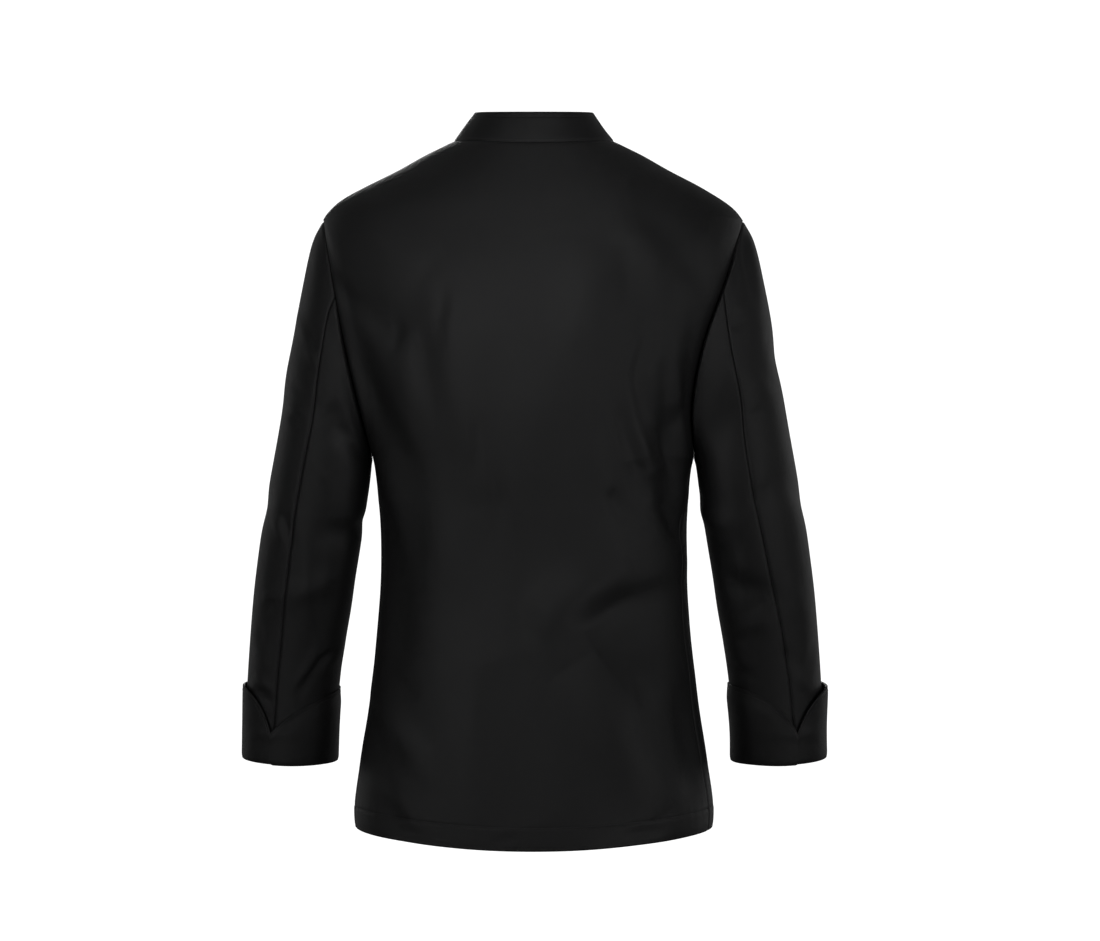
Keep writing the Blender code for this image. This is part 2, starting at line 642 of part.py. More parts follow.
def back_seam(side):
    """Angle of the back seam as a function of the ring."""
    steps = np.linspace(0.0, SLEEVE_END, len(BACK_SEAM[side]))
    return lambda ring: np.radians(smooth_table(steps, BACK_SEAM[side], ring))


def front_seam(turn):
    """Angle of the front seam as a function of the ring."""
    return lambda ring: np.full(np.shape(ring), math.radians(FRONT_SEAM + turn))


def make_sleeve(side):
    """Both panels of one sleeve."""
    upper = sleeve_panel(side, f"sleeve_{side}_upper", front_seam(-360.0), back_seam(side), UPPER_COLUMNS)
    under = sleeve_panel(side, f"sleeve_{side}_under", back_seam(side), front_seam(0.0), UNDER_COLUMNS)
    return [upper, under]


def notch_drop(side, angle):
    """How far the cuff's top edge dips at an angle round the sleeve."""
    outer_spread, inner_spread = NOTCH_SPREAD[side]
    away = np.mod(np.degrees(angle) - NOTCH_ANGLE + 180.0, 360.0) - 180.0
    spread = np.where(away < 0, outer_spread, inner_spread)
    return NOTCH_DEPTH * np.exp(-np.abs(away) / spread)


def make_cuff(side):
    """Turned-back cuff round the end of one sleeve."""
    angle = math.radians(NOTCH_ANGLE) + np.arange(CUFF_COLUMNS) * 2 * math.pi / CUFF_COLUMNS
    share = np.linspace(0.0, 1.0, CUFF_ROWS + 1)[:, None]
    bottom = CUFF_BOTTOM - CUFF_BOTTOM_TILT * np.cos(angle - math.radians(CUFF_LOW_ANGLE))
    top = CUFF_TOP - notch_drop(side, angle)
    height = bottom + (top - bottom) * share
    angles = np.repeat(angle[None, :], CUFF_ROWS + 1, axis=0)
    ring_heights = -np.array([(row[1] + row[3]) / 2 for row in RINGS])
    ring = smooth_table(ring_heights, range(len(RINGS)), -height)
    normal = sleeve_normal(side, angles, ring)
    level = normal * np.array([1.0, 1.0, 0.0])
    open_side = CUFF_EVEN_SHARE + (1 - CUFF_EVEN_SHARE) * np.cos(angles).clip(0.0, 1.0)
    stand = CUFF_CLEARANCE + CUFF_STAND_OFF * open_side * share
    inner = sleeve_base(side, angles, ring) + unit(level) * stand[..., None]
    return shell(f"cuff_{side}", inner + unit(level) * DOUBLED_WALL, inner, closed_round=True)


def make_collar():
    """Stand collar on the neck seam, with its ends at the middle of the front."""
    place = np.linspace(COLLAR_END, -COLLAR_END, COLLAR_COLUMNS + 1)
    foot_height = neck_height(place) + HALF_GAP
    foot = body_base(place, foot_height)
    up = collar_direction(place, foot_height)
    round_off = smooth_step((np.abs(place) - COLLAR_END + COLLAR_CORNER) / COLLAR_CORNER) ** 2
    tall = 1 - COLLAR_CORNER_CUT * round_off
    share = np.linspace(0.0, 1.0, COLLAR_ROWS + 1)[:, None]
    outer = foot[None] + up[None] * (share * tall)[..., None]
    along = np.gradient(foot, axis=0)
    collar_normal = unit(np.cross(along, up))
    collar_normal = collar_normal * np.sign((collar_normal * body_normal(place, foot_height)).sum(-1))[:, None]
    thickness = np.repeat(collar_normal[None], COLLAR_ROWS + 1, axis=0)
    thickness[0] = neck_mitre(place, foot_height)
    return shell("collar", outer, outer - thickness * DOUBLED_WALL)


def make_button(name):
    """Round button with a raised rim, its back at its origin and its face along +Z."""
    profile = (
        (BUTTON_RADIUS, 0.0),
        (BUTTON_RADIUS, BUTTON_THICKNESS),
        (BUTTON_RADIUS - BUTTON_RIM, BUTTON_THICKNESS),
        (BUTTON_RADIUS - 2 * BUTTON_RIM, BUTTON_THICKNESS - BUTTON_DISH),
    )
    mesh = bmesh.new()
    rings = []
    for radius, height in profile:
        turn = [2 * math.pi * i / BUTTON_SIDES for i in range(BUTTON_SIDES)]
        rings.append([mesh.verts.new((radius * math.cos(t), radius * math.sin(t), height)) for t in turn])
    for low, high in zip(rings, rings[1:]):
        for i in range(BUTTON_SIDES):
            n = (i + 1) % BUTTON_SIDES
            mesh.faces.new((low[i], low[n], high[n], high[i]))
    mesh.faces.new(rings[0][::-1])
    mesh.faces.new(rings[-1])
    data = bpy.data.meshes.new(name)
    mesh.to_mesh(data)
    mesh.free()
    return data


def button_places():
    """Place round the body and height of each button, down each column in turn."""
    rows = []
    for direction in (1.0, -1.0):
        for row in range(BUTTON_ROWS):
            height = np.array([BUTTON_TOP - BUTTON_PITCH * row])
            distance = lap_width(height) - BUTTON_EDGE
            side = "left" if direction > 0 else "right"
            rows.append((2.0 - direction * place_at_distance(side, distance, height), height))
    return rows


def finish(name, settings):
    """Material with one base finish."""
    material = bpy.data.materials.new(name)
    material.use_nodes = True
    shader = material.node_tree.nodes["Principled BSDF"]
    shader.inputs["Base Color"].default_value = (*settings["color"], 1.0)
    shader.inputs["Roughness"].default_value = settings["roughness"]
    shader.inputs["Metallic"].default_value = 0.0
    return material


def add_object(data, settings, parent):
    """Put a mesh in the scene with its own material, shaded smooth."""
    item = bpy.data.objects.new(data.name, data)
    bpy.context.collection.objects.link(item)
    data.materials.append(finish(f"{data.name}_finish", settings))
    data.shade_smooth()
    data.set_sharp_from_angle(angle=math.radians(50.0))
    item.parent = parent
    return item


def add_buttons(parent):
    """Buttons on the outer front, turned to face out from it."""
    for number, (place, height) in enumerate(button_places(), start=1):
        point = body_base(place, height)[0]
        normal = body_normal(place, height)[0]
        lift = body_folds(place, height)[0]
        button = add_object(make_button(f"button_{number}"), BLACK_BUTTON, parent)
        up = np.array([0.0, 0.0, 1.0])
        side = unit(np.cross(up, normal))
        turned = np.stack([side, np.cross(normal, side), normal], axis=1)
        button.rotation_mode = "QUATERNION"
        button.rotation_quaternion = Matrix([tuple(row) for row in turned]).to_quaternion()
        button.location = point + normal * (lift + BUTTON_LIFT)


def build():
    """Build every piece of the jacket."""
    for item in list(bpy.data.objects):
        bpy.data.objects.remove(item, do_unlink=True)
    jacket = bpy.data.objects.new("jacket", None)
    bpy.context.collection.objects.link(jacket)
    add_object(make_back(), BLACK_TWILL, jacket)
    for side in SIDES:
        add_object(make_front(side), BLACK_TWILL, jacket)
    add_object(make_collar(), COLLAR_TWILL, jacket)
    for side in SIDES:
        for panel in make_sleeve(side):
            add_object(panel, BLACK_TWILL, jacket)
        add_object(make_cuff(side), COLLAR_TWILL, jacket)
    add_buttons(jacket)


build()
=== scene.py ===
"""Looks of a double-breasted chef jacket with a stand collar and turned-back cuffs.

The jacket is black cotton twill in the form it has when worn. Every cloth piece is a thin wall with a
small gap to its neighbour at each seam. Metres, +Z up, the front towards -Y and the wearer's left +X.
"""

import logging
import math
from dataclasses import dataclass, field
from enum import Enum
from typing import Iterable, Sequence

import bpy
import numpy as np
from mathutils import Matrix, Vector


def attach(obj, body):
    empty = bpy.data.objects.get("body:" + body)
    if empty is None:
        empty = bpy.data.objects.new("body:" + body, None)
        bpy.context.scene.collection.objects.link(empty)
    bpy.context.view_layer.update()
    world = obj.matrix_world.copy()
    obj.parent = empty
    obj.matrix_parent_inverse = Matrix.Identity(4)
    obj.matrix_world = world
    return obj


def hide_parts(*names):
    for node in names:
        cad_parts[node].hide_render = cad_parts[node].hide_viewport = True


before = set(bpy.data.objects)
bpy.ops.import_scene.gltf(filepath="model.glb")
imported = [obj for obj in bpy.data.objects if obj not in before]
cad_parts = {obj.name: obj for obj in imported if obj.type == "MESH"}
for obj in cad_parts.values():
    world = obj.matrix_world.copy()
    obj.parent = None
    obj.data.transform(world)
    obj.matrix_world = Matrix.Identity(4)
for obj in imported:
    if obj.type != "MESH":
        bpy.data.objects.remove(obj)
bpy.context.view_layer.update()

LOG = logging.getLogger("chef_jacket")
Grid = np.ndarray
Pair = tuple[float, float]
Triple = tuple[float, float, float]
Mesh = bpy.types.Mesh
Piece = bpy.types.Object
Material = bpy.types.Material
Node = bpy.types.Node
Socket = bpy.types.NodeSocket
LEVEL = np.array([1.0, 1.0, 0.0])
UPWARD = np.array([0.0, 0.0, 1.0])
MILLIMETRES = 1000.0
THREAD_LIFT = 0.0001


class Side(Enum):
    """The wearer's side that a piece belongs to."""

    LEFT = "left"
    RIGHT = "right"

    @property
    def sign(self) -> float:
        """Direction of this side along X."""
        return 1.0 if self is Side.LEFT else -1.0

    @property
    def other(self) -> "Side":
        """The opposite side."""
        return Side.RIGHT if self is Side.LEFT else Side.LEFT


class Cloth(Enum):
    """Names of the jacket's cloth materials, which no piece uses."""

    BODY = "body_cloth"
    SLEEVE = "sleeve_cloth"
    COLLAR = "collar_cloth"
    CUFF = "cuff_cloth"


def smooth_step(value: Grid | float) -> Grid:
    """Ease from 0 to 1 with level ends."""
    held = np.clip(value, 0.0, 1.0)
    return held * held * (3.0 - 2.0 * held)


def smooth_table(places: Sequence[float], values: Sequence[float], at: Grid | float) -> Grid:
    """Read a table on a smooth curve through its rows.

    Args:
        places: Rising places of the rows.
        values: Value of each row.
        at: Places to read.

    Returns:
        The values there.
    """
    places = np.asarray(places, float)
    values = np.asarray(values, float)
    slopes = np.gradient(values, places)
    at = np.clip(at, places[0], places[-1])
    row = np.clip(np.searchsorted(places, at, side="right") - 1, 0, len(places) - 2)
    span = places[row + 1] - places[row]
    part = (at - places[row]) / span
    return (
        values[row] * (1 + 2 * part) * (1 - part) ** 2
        + slopes[row] * span * part * (1 - part) ** 2
        + values[row + 1] * part**2 * (3 - 2 * part)
        + slopes[row + 1] * span * part**2 * (part - 1)
    )


def unit(vectors: Grid) -> Grid:
    """Scale vectors to length one."""
    return vectors / np.maximum(np.linalg.norm(vectors, axis=-1, keepdims=True), 1e-12)


def read_rows(at: Grid, xs: Grid, ys: Grid) -> Grid:
    """Interpolate each row of a table at that row's own place.

    Args:
        at: One place a row.
        xs: Rising places along each row.
        ys: Values along each row.

    Returns:
        One value a row.
    """
    row = np.clip((xs <= at[..., None]).sum(axis=-1) - 1, 0, xs.shape[-1] - 2)[..., None]
    low = np.take_along_axis(xs, row, -1)[..., 0]
    high = np.take_along_axis(xs, row + 1, -1)[..., 0]
    first = np.take_along_axis(ys, row, -1)[..., 0]
    second = np.take_along_axis(ys, row + 1, -1)[..., 0]
    return first + (second - first) * (at - low) / (high - low)


@dataclass(frozen=True)
class Fold:
    """A soft ridge (height above zero) or trough (below zero) between two places of its piece.

    The half width and the height are in millimetres.
    """

    start: Pair
    end: Pair
    half_width: float
    height: float


@dataclass(frozen=True)
class Crease:
    """A narrower fold along a path, with one steep side, as it lies across the back or a sleeve.

    The path's points are (distance towards the wearer's left, height). They, the half width and the
    height are in millimetres. A steepness above zero makes the side to the left of the path's run the
    steep one.
    """

    path: tuple[Pair, ...]
    half_width: float
    height: float
    steepness: float = 0.0


def fold_height(folds: Iterable[Fold], across: Grid, along: Grid, scale: Pair) -> Grid:
    """Sum of the folds at each point.

    Args:
        folds: Folds to add up.
        across: Place of each point round the piece.
        along: Place of each point along the piece.
        scale: What one unit of each place measures in metres.

    Returns:
        Height above the smooth form.
    """
    end_share = 0.35
    total = np.zeros(np.shape(across))
    for fold in folds:
        run = np.array([(fold.end[0] - fold.start[0]) * scale[0], (fold.end[1] - fold.start[1]) * scale[1]])
        offset_u = (across - fold.start[0]) * scale[0]
        offset_v = (along - fold.start[1]) * scale[1]
        part = (offset_u * run[0] + offset_v * run[1]) / (run @ run)
        held = np.clip(part, 0.0, 1.0)
        distance = np.hypot(offset_u - held * run[0], offset_v - held * run[1])
        swell = end_share + (1 - end_share) * np.sin(np.pi * held)
        half_width, height = fold.half_width / MILLIMETRES, fold.height / MILLIMETRES
        total = total + height * swell * np.exp(-((distance / half_width) ** 2))
    return total


def crease_height(creases: Iterable[Crease], x: Grid, z: Grid) -> Grid:
    """Sum of the creases at each point, read straight through the piece along Y.

    Args:
        creases: Creases to add up.
        x: Distance of each point towards the wearer's left.
        z: Height of each point.

    Returns:
        Height above the form below them.
    """
    far_away = 9.0
    lean = 0.6
    narrowest, widest = 0.3, 1.7
    first_place, last_place = 0.02, 0.98
    end_power = 0.6
    total = np.zeros(np.shape(x))
    for crease in creases:
        points = np.array(crease.path) / MILLIMETRES
        steps = np.hypot(*np.diff(points, axis=0).T)
        starts = np.concatenate([[0.0], np.cumsum(steps)])
        nearest = np.full(np.shape(x), far_away)
        place = np.zeros(np.shape(x))
        left_of = np.zeros(np.shape(x))
        for first, second, step, start in zip(points, points[1:], steps, starts):
            run = (second - first) / step
            held = np.clip((x - first[0]) * run[0] + (z - first[1]) * run[1], 0.0, step)
            aside_x = x - first[0] - held * run[0]
            aside_z = z - first[1] - held * run[1]
            distance = np.hypot(aside_x, aside_z)
            closer = distance < nearest
            nearest = np.where(closer, distance, nearest)
            place = np.where(closer, (start + held) / starts[-1], place)
            left_of = np.where(closer, np.sign(run[0] * aside_z - run[1] * aside_x), left_of)
        half_width, height = crease.half_width / MILLIMETRES, crease.height / MILLIMETRES
        skew = 1.0 - crease.steepness * left_of * smooth_step(nearest / half_width) * lean
        width = half_width * np.clip(skew, narrowest, widest)
        swell = np.sin(np.pi * np.clip(place, first_place, last_place)) ** end_power
        total = total + height * swell * np.exp(-((nearest / width) ** 2))
    return total


@dataclass(frozen=True)
class Section:
    """Level section of the body: its height and half sizes, its middle in Y and how square it is."""

    height: float
    half_width: float
    half_depth: float
    middle: float
    squareness: float


LEFT_CREVICE = ((-0.343, 0.0), (-0.325, 0.0040), (-0.290, 0.0040), (-0.230, 0.0024), (-0.170, 0.0))
RIGHT_CREVICE = (
    (-0.343, 0.0),
    (-0.325, 0.0054),
    (-0.280, 0.0062),
    (-0.200, 0.0044),
    (-0.135, 0.0028),
    (-0.100, 0.0),
)


@dataclass(frozen=True)
class BodyForm:
    """Smooth form of the body, its seams and its folds.

    Places run round the body: 0 is the middle of the back, +1 the left side, -1 the right side and
    +-2 the middle of the front.
    """

    sections: tuple[Section, ...] = (
        Section(-0.765, 0.1945, 0.1310, 0.002, 2.25),
        Section(-0.737, 0.1969, 0.1300, 0.001, 2.28),
        Section(-0.680, 0.1909, 0.1265, -0.002, 2.30),
        Section(-0.614, 0.1810, 0.1205, -0.006, 2.30),
        Section(-0.548, 0.1738, 0.1145, -0.010, 2.30),
        Section(-0.471, 0.1694, 0.1110, -0.012, 2.30),
        Section(-0.394, 0.1716, 0.1140, -0.009, 2.30),
        Section(-0.347, 0.1775, 0.1175, -0.006, 2.32),
        Section(-0.270, 0.2100, 0.1215, -0.001, 2.35),
        Section(-0.200, 0.2300, 0.1190, 0.003, 2.32),
        Section(-0.140, 0.2420, 0.1110, 0.004, 2.22),
        Section(-0.087, 0.2310, 0.0980, 0.004, 2.10),
        Section(-0.075, 0.2215, 0.0950, 0.004, 2.05),
        Section(-0.053, 0.1890, 0.0890, 0.003, 1.98),
        Section(-0.031, 0.1474, 0.0820, 0.002, 1.90),
        Section(-0.0145, 0.1180, 0.0765, 0.001, 1.88),
        Section(-0.004, 0.0965, 0.0735, 0.000, 1.92),
        Section(0.004, 0.0810, 0.0715, 0.000, 2.00),
    )
    quarter_steps: int = 72
    mean_quarter: float = 0.235
    hem_side: float = -0.750
    hem_dip: float = 0.0115
    neck_side: float = 0.0
    neck_back_dip: float = 0.0087
    neck_front_drop: float = 0.070
    neck_curve: float = 1.6
    shoulder_tip: float = -0.087
    underarm: float = -0.347
    armhole_half_depth: float = 0.060
    side_seam_ease: float = 0.075
    left_side_seam: float = 0.900
    right_side_seam: float = 0.835
    lap_top: float = 0.085
    lap_waist: float = 0.064
    lap_waist_height: float = -0.460
    flap_drop: float = 0.018
    inset_ease: float = 0.022
    inset_margin: float = 0.0275
    fold_fade: float = 0.026

    def armhole_table(self, side: Side) -> tuple[Pair, ...]:
        """Height of the armhole seam and its distance from the middle of the back."""
        if side is Side.LEFT:
            return ((-0.347, 0.1775), (-0.300, 0.1885), (-0.229, 0.2040), (-0.150, 0.2190), (-0.087, 0.2310))
        return ((-0.347, 0.1760), (-0.300, 0.1715), (-0.229, 0.1820), (-0.150, 0.2095), (-0.087, 0.2295))

    def side_seam(self, side: Side) -> float:
        """Place of the side seam below the underarm."""
        return self.left_side_seam if side is Side.LEFT else self.right_side_seam

    def section_value(self, column: str, height: Grid | float) -> Grid:
        """Read one column of the sections at a height."""
        heights = [s.height for s in self.sections]
        return smooth_table(heights, [getattr(s, column) for s in self.sections], height)

    def armhole_line(self, side: Side, height: Grid | float) -> Grid:
        """Distance of the armhole seam from the middle of the body."""
        heights, distances = zip(*self.armhole_table(side))
        return smooth_table(heights, distances, height)

    def armhole_depth(self, height: Grid) -> Grid:
        """Half the depth of the armhole at a height."""
        middle, reach = self.armhole_span()
        return self.armhole_half_depth * np.sqrt(np.clip(1 - ((height - middle) / reach) ** 2, 0.0, 1.0))

    def armhole_span(self) -> Pair:
        """Middle height of the armholes and half their height."""
        return (self.shoulder_tip + self.underarm) / 2, (self.shoulder_tip - self.underarm) / 2

    def half_width(self, side: Side, height: Grid) -> Grid:
        """Half width of the body, drawn past the armhole between the underarm and the shoulder tip."""
        depth = self.section_value("half_depth", height)
        squareness = self.section_value("squareness", height)
        hidden = (1 - (self.armhole_depth(height) / depth) ** squareness) ** (1 / squareness)
        past = self.armhole_line(side, height) / hidden
        tip, low = self.shoulder_tip, self.underarm
        tip_change = self.armhole_line(side, tip) - self.section_value("half_width", tip)
        low_change = self.armhole_line(side, low) - self.section_value("half_width", low)
        fade_up = smooth_step((self.neck_side - height) / (self.neck_side - tip))
        fade_down = smooth_step((height - self.lap_waist_height) / (low - self.lap_waist_height))
        plain = self.section_value("half_width", height)
        plain = plain + np.where(height > tip, tip_change * fade_up, low_change * fade_down)
        return np.where((height > low) & (height < tip), past, plain)

    def quarter(self, side: Side, height: Grid) -> tuple[Grid, Grid, Grid, Grid]:
        """Quarter section from the middle out.

        Args:
            side: Side of the body.
            height: Heights of the sections.

        Returns:
            Points across and deep, the running length as a share, and the whole length.
        """
        angle = np.linspace(0.0, math.pi / 2, self.quarter_steps)
        power = 2 / self.section_value("squareness", height)[..., None]
        across = self.half_width(side, height)[..., None] * np.sin(angle) ** power
        deep = self.section_value("half_depth", height)[..., None] * np.cos(angle).clip(0.0, 1.0) ** power
        steps = np.hypot(np.diff(across), np.diff(deep))
        length = np.concatenate([np.zeros(steps.shape[:-1] + (1,)), np.cumsum(steps, axis=-1)], axis=-1)
        return across, deep, length / length[..., -1:], length[..., -1]

    def place_at_distance(self, side: Side, distance: Grid, height: Grid) -> Grid:
        """Share of the quarter section at which the body is this far from its middle."""
        across, _, share, _ = self.quarter(side, height)
        return read_rows(np.minimum(distance, across[..., -1]), across, share)

    def point(self, place: Grid, height: Grid) -> Grid:
        """Point on the smooth body."""
        place = np.mod(place + 2.0, 4.0) - 2.0
        turn = np.abs(place)
        share = np.where(turn <= 1.0, turn, 2.0 - turn)
        result = np.empty(place.shape + (3,))
        for side in Side:
            chosen = (place >= 0) if side is Side.LEFT else (place < 0)
            across, deep, length_share, _ = self.quarter(side, height[chosen])
            x = read_rows(share[chosen], length_share, across)
            y = read_rows(share[chosen], length_share, deep)
            facing = np.where(turn[chosen] <= 1.0, 1.0, -1.0)
            middle = self.section_value("middle", height[chosen])
            result[chosen] = np.stack([side.sign * x, middle + facing * y, height[chosen]], axis=-1)
        return result

    def normal(self, place: Grid, height: Grid) -> Grid:
        """Outward direction of the smooth body."""
        step = 0.004
        round_body = self.point(place + step, height) - self.point(place - step, height)
        up_body = self.point(place, height + step) - self.point(place, height - step)
        return unit(np.cross(up_body, round_body))

    def armhole_clearance(self, place: Grid, height: Grid) -> Grid:
        """Distance, round the body, from the armhole seam of the point's own side."""
        place = np.mod(place + 2.0, 4.0) - 2.0
        turn = np.minimum(np.abs(place), 2.0 - np.abs(place))
        clearance = np.full(place.shape, 1.0)
        for side in Side:
            chosen = (place * side.sign >= 0) & (height > self.underarm) & (height < self.shoulder_tip)
            distance = self.armhole_line(side, height[chosen])
            seam = self.place_at_distance(side, distance, height[chosen])
            clearance[chosen] = np.maximum(seam - turn[chosen], 0.0) * self.mean_quarter
        beyond = np.maximum(height - self.shoulder_tip, self.underarm - height)
        off_side = (1.0 - turn) * self.mean_quarter
        return np.where(beyond >= 0, np.hypot(beyond, off_side), clearance)

    def neck_height(self, place: Grid) -> Grid:
        """Height of the neck seam round the body."""
        turn = np.abs(place)
        back = self.neck_side - self.neck_back_dip * np.cos(np.minimum(turn, 1.0) * math.pi / 2) ** 2
        return back - self.neck_front_drop * smooth_step(np.clip(turn - 1.0, 0.0, 1.0) ** self.neck_curve)

    def hem_height(self, place: Grid) -> Grid:
        """Height of the hem round the body."""
        return self.hem_side - self.hem_dip * np.cos(place * math.pi / 2) ** 2

    def armhole_normal(self, side: Side, height: Grid) -> Grid:
        """Outward direction of the armhole's edge, in the plane of the armhole."""
        middle, reach = self.armhole_span()
        cosine = np.clip((height - middle) / reach, -1.0, 1.0)
        sine = np.sqrt(1 - cosine**2)
        lean = float(self.armhole_line(side, self.shoulder_tip) - self.armhole_line(side, self.underarm))
        length = math.hypot(lean, 2 * reach)
        along = cosine / reach
        return unit(
            np.stack([along * lean / length, sine / self.armhole_half_depth, along * 2 * reach / length], -1)
        )

    def crevice(self, side: Side, height: Grid) -> Grid:
        """How far the back's armhole seam is drawn in towards the front, where the cloth folds over it."""
        heights, depths = zip(*(LEFT_CREVICE if side is Side.LEFT else RIGHT_CREVICE))
        return smooth_table(heights, depths, height)

    def lap_width(self, height: Grid) -> Grid:
        """Distance of the overlap's edge from the middle of the front."""
        top = -self.neck_front_drop
        part = smooth_step((height - self.lap_waist_height) / (top - self.lap_waist_height))
        return self.lap_waist + (self.lap_top - self.lap_waist) * part

    def covered(self, x: Grid, height: Grid) -> Grid:
        """How much of the under front lies below the outer front: 1 where covered."""
        top = -self.neck_front_drop - self.flap_drop * np.clip(-x / self.lap_top, 0.0, 2.0) ** 2
        beside = smooth_step((x + self.lap_width(height) + self.inset_margin) / self.inset_ease)
        below = smooth_step((top - height + self.inset_margin) / self.inset_ease)
        return beside * below


BODY_FOLDS = (
    Fold((0.97, -0.105), (0.46, -0.190), 24, 4),
    Fold((0.80, -0.225), (0.52, -0.400), 22, -4),
    Fold((0.86, -0.300), (0.62, -0.470), 18, 3),
    Fold((0.36, -0.150), (0.30, -0.330), 22, 2.8),
    Fold((0.44, -0.185), (0.40, -0.300), 14, -2.6),
    Fold((0.16, -0.170), (0.12, -0.340), 24, -2),
    Fold((-0.06, -0.130), (-0.02, -0.380), 30, 1.6),
    Fold((-0.18, -0.250), (-0.16, -0.390), 18, -1.8),
    Fold((-0.46, -0.075), (-0.78, -0.125), 20, 3.4),
    Fold((-0.40, -0.190), (-0.50, -0.330), 18, 2.6),
    Fold((-0.50, -0.235), (-0.74, -0.430), 16, -3.4),
    Fold((-0.60, -0.220), (-0.84, -0.400), 14, 3.2),
    Fold((-0.66, -0.200), (-0.90, -0.345), 13, -3),
    Fold((-0.30, -0.330), (-0.58, -0.480), 18, -2.4),
    Fold((0.02, -0.470), (-0.62, -0.720), 40, 3.6),
    Fold((-0.06, -0.560), (-0.40, -0.745), 28, -3),
    Fold((0.78, -0.500), (0.60, -0.580), 28, -3.6),
    Fold((0.56, -0.470), (0.10, -0.560), 26, -2),
    Fold((0.70, -0.620), (0.44, -0.715), 18, 3.6),
    Fold((0.76, -0.650), (0.54, -0.750), 16, -3.4),
    Fold((0.34, -0.590), (0.24, -0.750), 24, 2),
    Fold((-0.80, -0.560), (-0.66, -0.750), 26, -2.8),
    Fold((1.22, -0.130), (1.52, -0.250), 22, 3.2),
    Fold((1.16, -0.290), (1.56, -0.400), 18, -3),
    Fold((1.20, -0.520), (1.60, -0.600), 24, 2.6),
    Fold((-1.20, -0.140), (-1.50, -0.270), 22, 3),
    Fold((-1.18, -0.310), (-1.54, -0.430), 17, -3),
    Fold((-1.16, -0.500), (-1.52, -0.640), 24, -2.6),
)
SLEEVE_FOLDS = {
    Side.LEFT: (
        Fold((150, 2.2), (60, 4.4), 20, -3.6),
        Fold((20, 3.4), (-50, 5.0), 18, 2.6),
        Fold((200, 5.6), (110, 7.0), 16, -3.2),
        Fold((40, 6.6), (-40, 7.6), 18, -2.8),
        Fold((130, 8.2), (60, 9.2), 14, 2.6),
        Fold((270, 6.8), (330, 7.4), 15, -3.4),
        Fold((165, 10.1), (95, 11.4), 11, 3),
        Fold((175, 10.8), (110, 11.8), 10, -3),
        Fold((45, 10.4), (80, 11.5), 11, 2.6),
    ),
    Side.RIGHT: (
        Fold((100, 0.6), (72, 3.6), 14, 4),
        Fold((130, 1.4), (96, 4.6), 18, -3.6),
        Fold((30, 3.0), (-40, 4.4), 18, -3),
        Fold((190, 5.0), (120, 6.6), 16, 3),
        Fold((60, 6.0), (-20, 7.4), 18, -2.6),
        Fold((150, 8.0), (80, 9.0), 14, -2.8),
        Fold((270, 6.4), (330, 7.2), 15, -3.4),
        Fold((150, 10.4), (90, 11.5), 11, 2.6),
        Fold((30, 10.2), (70, 11.4), 11, -2.4),
    ),
}

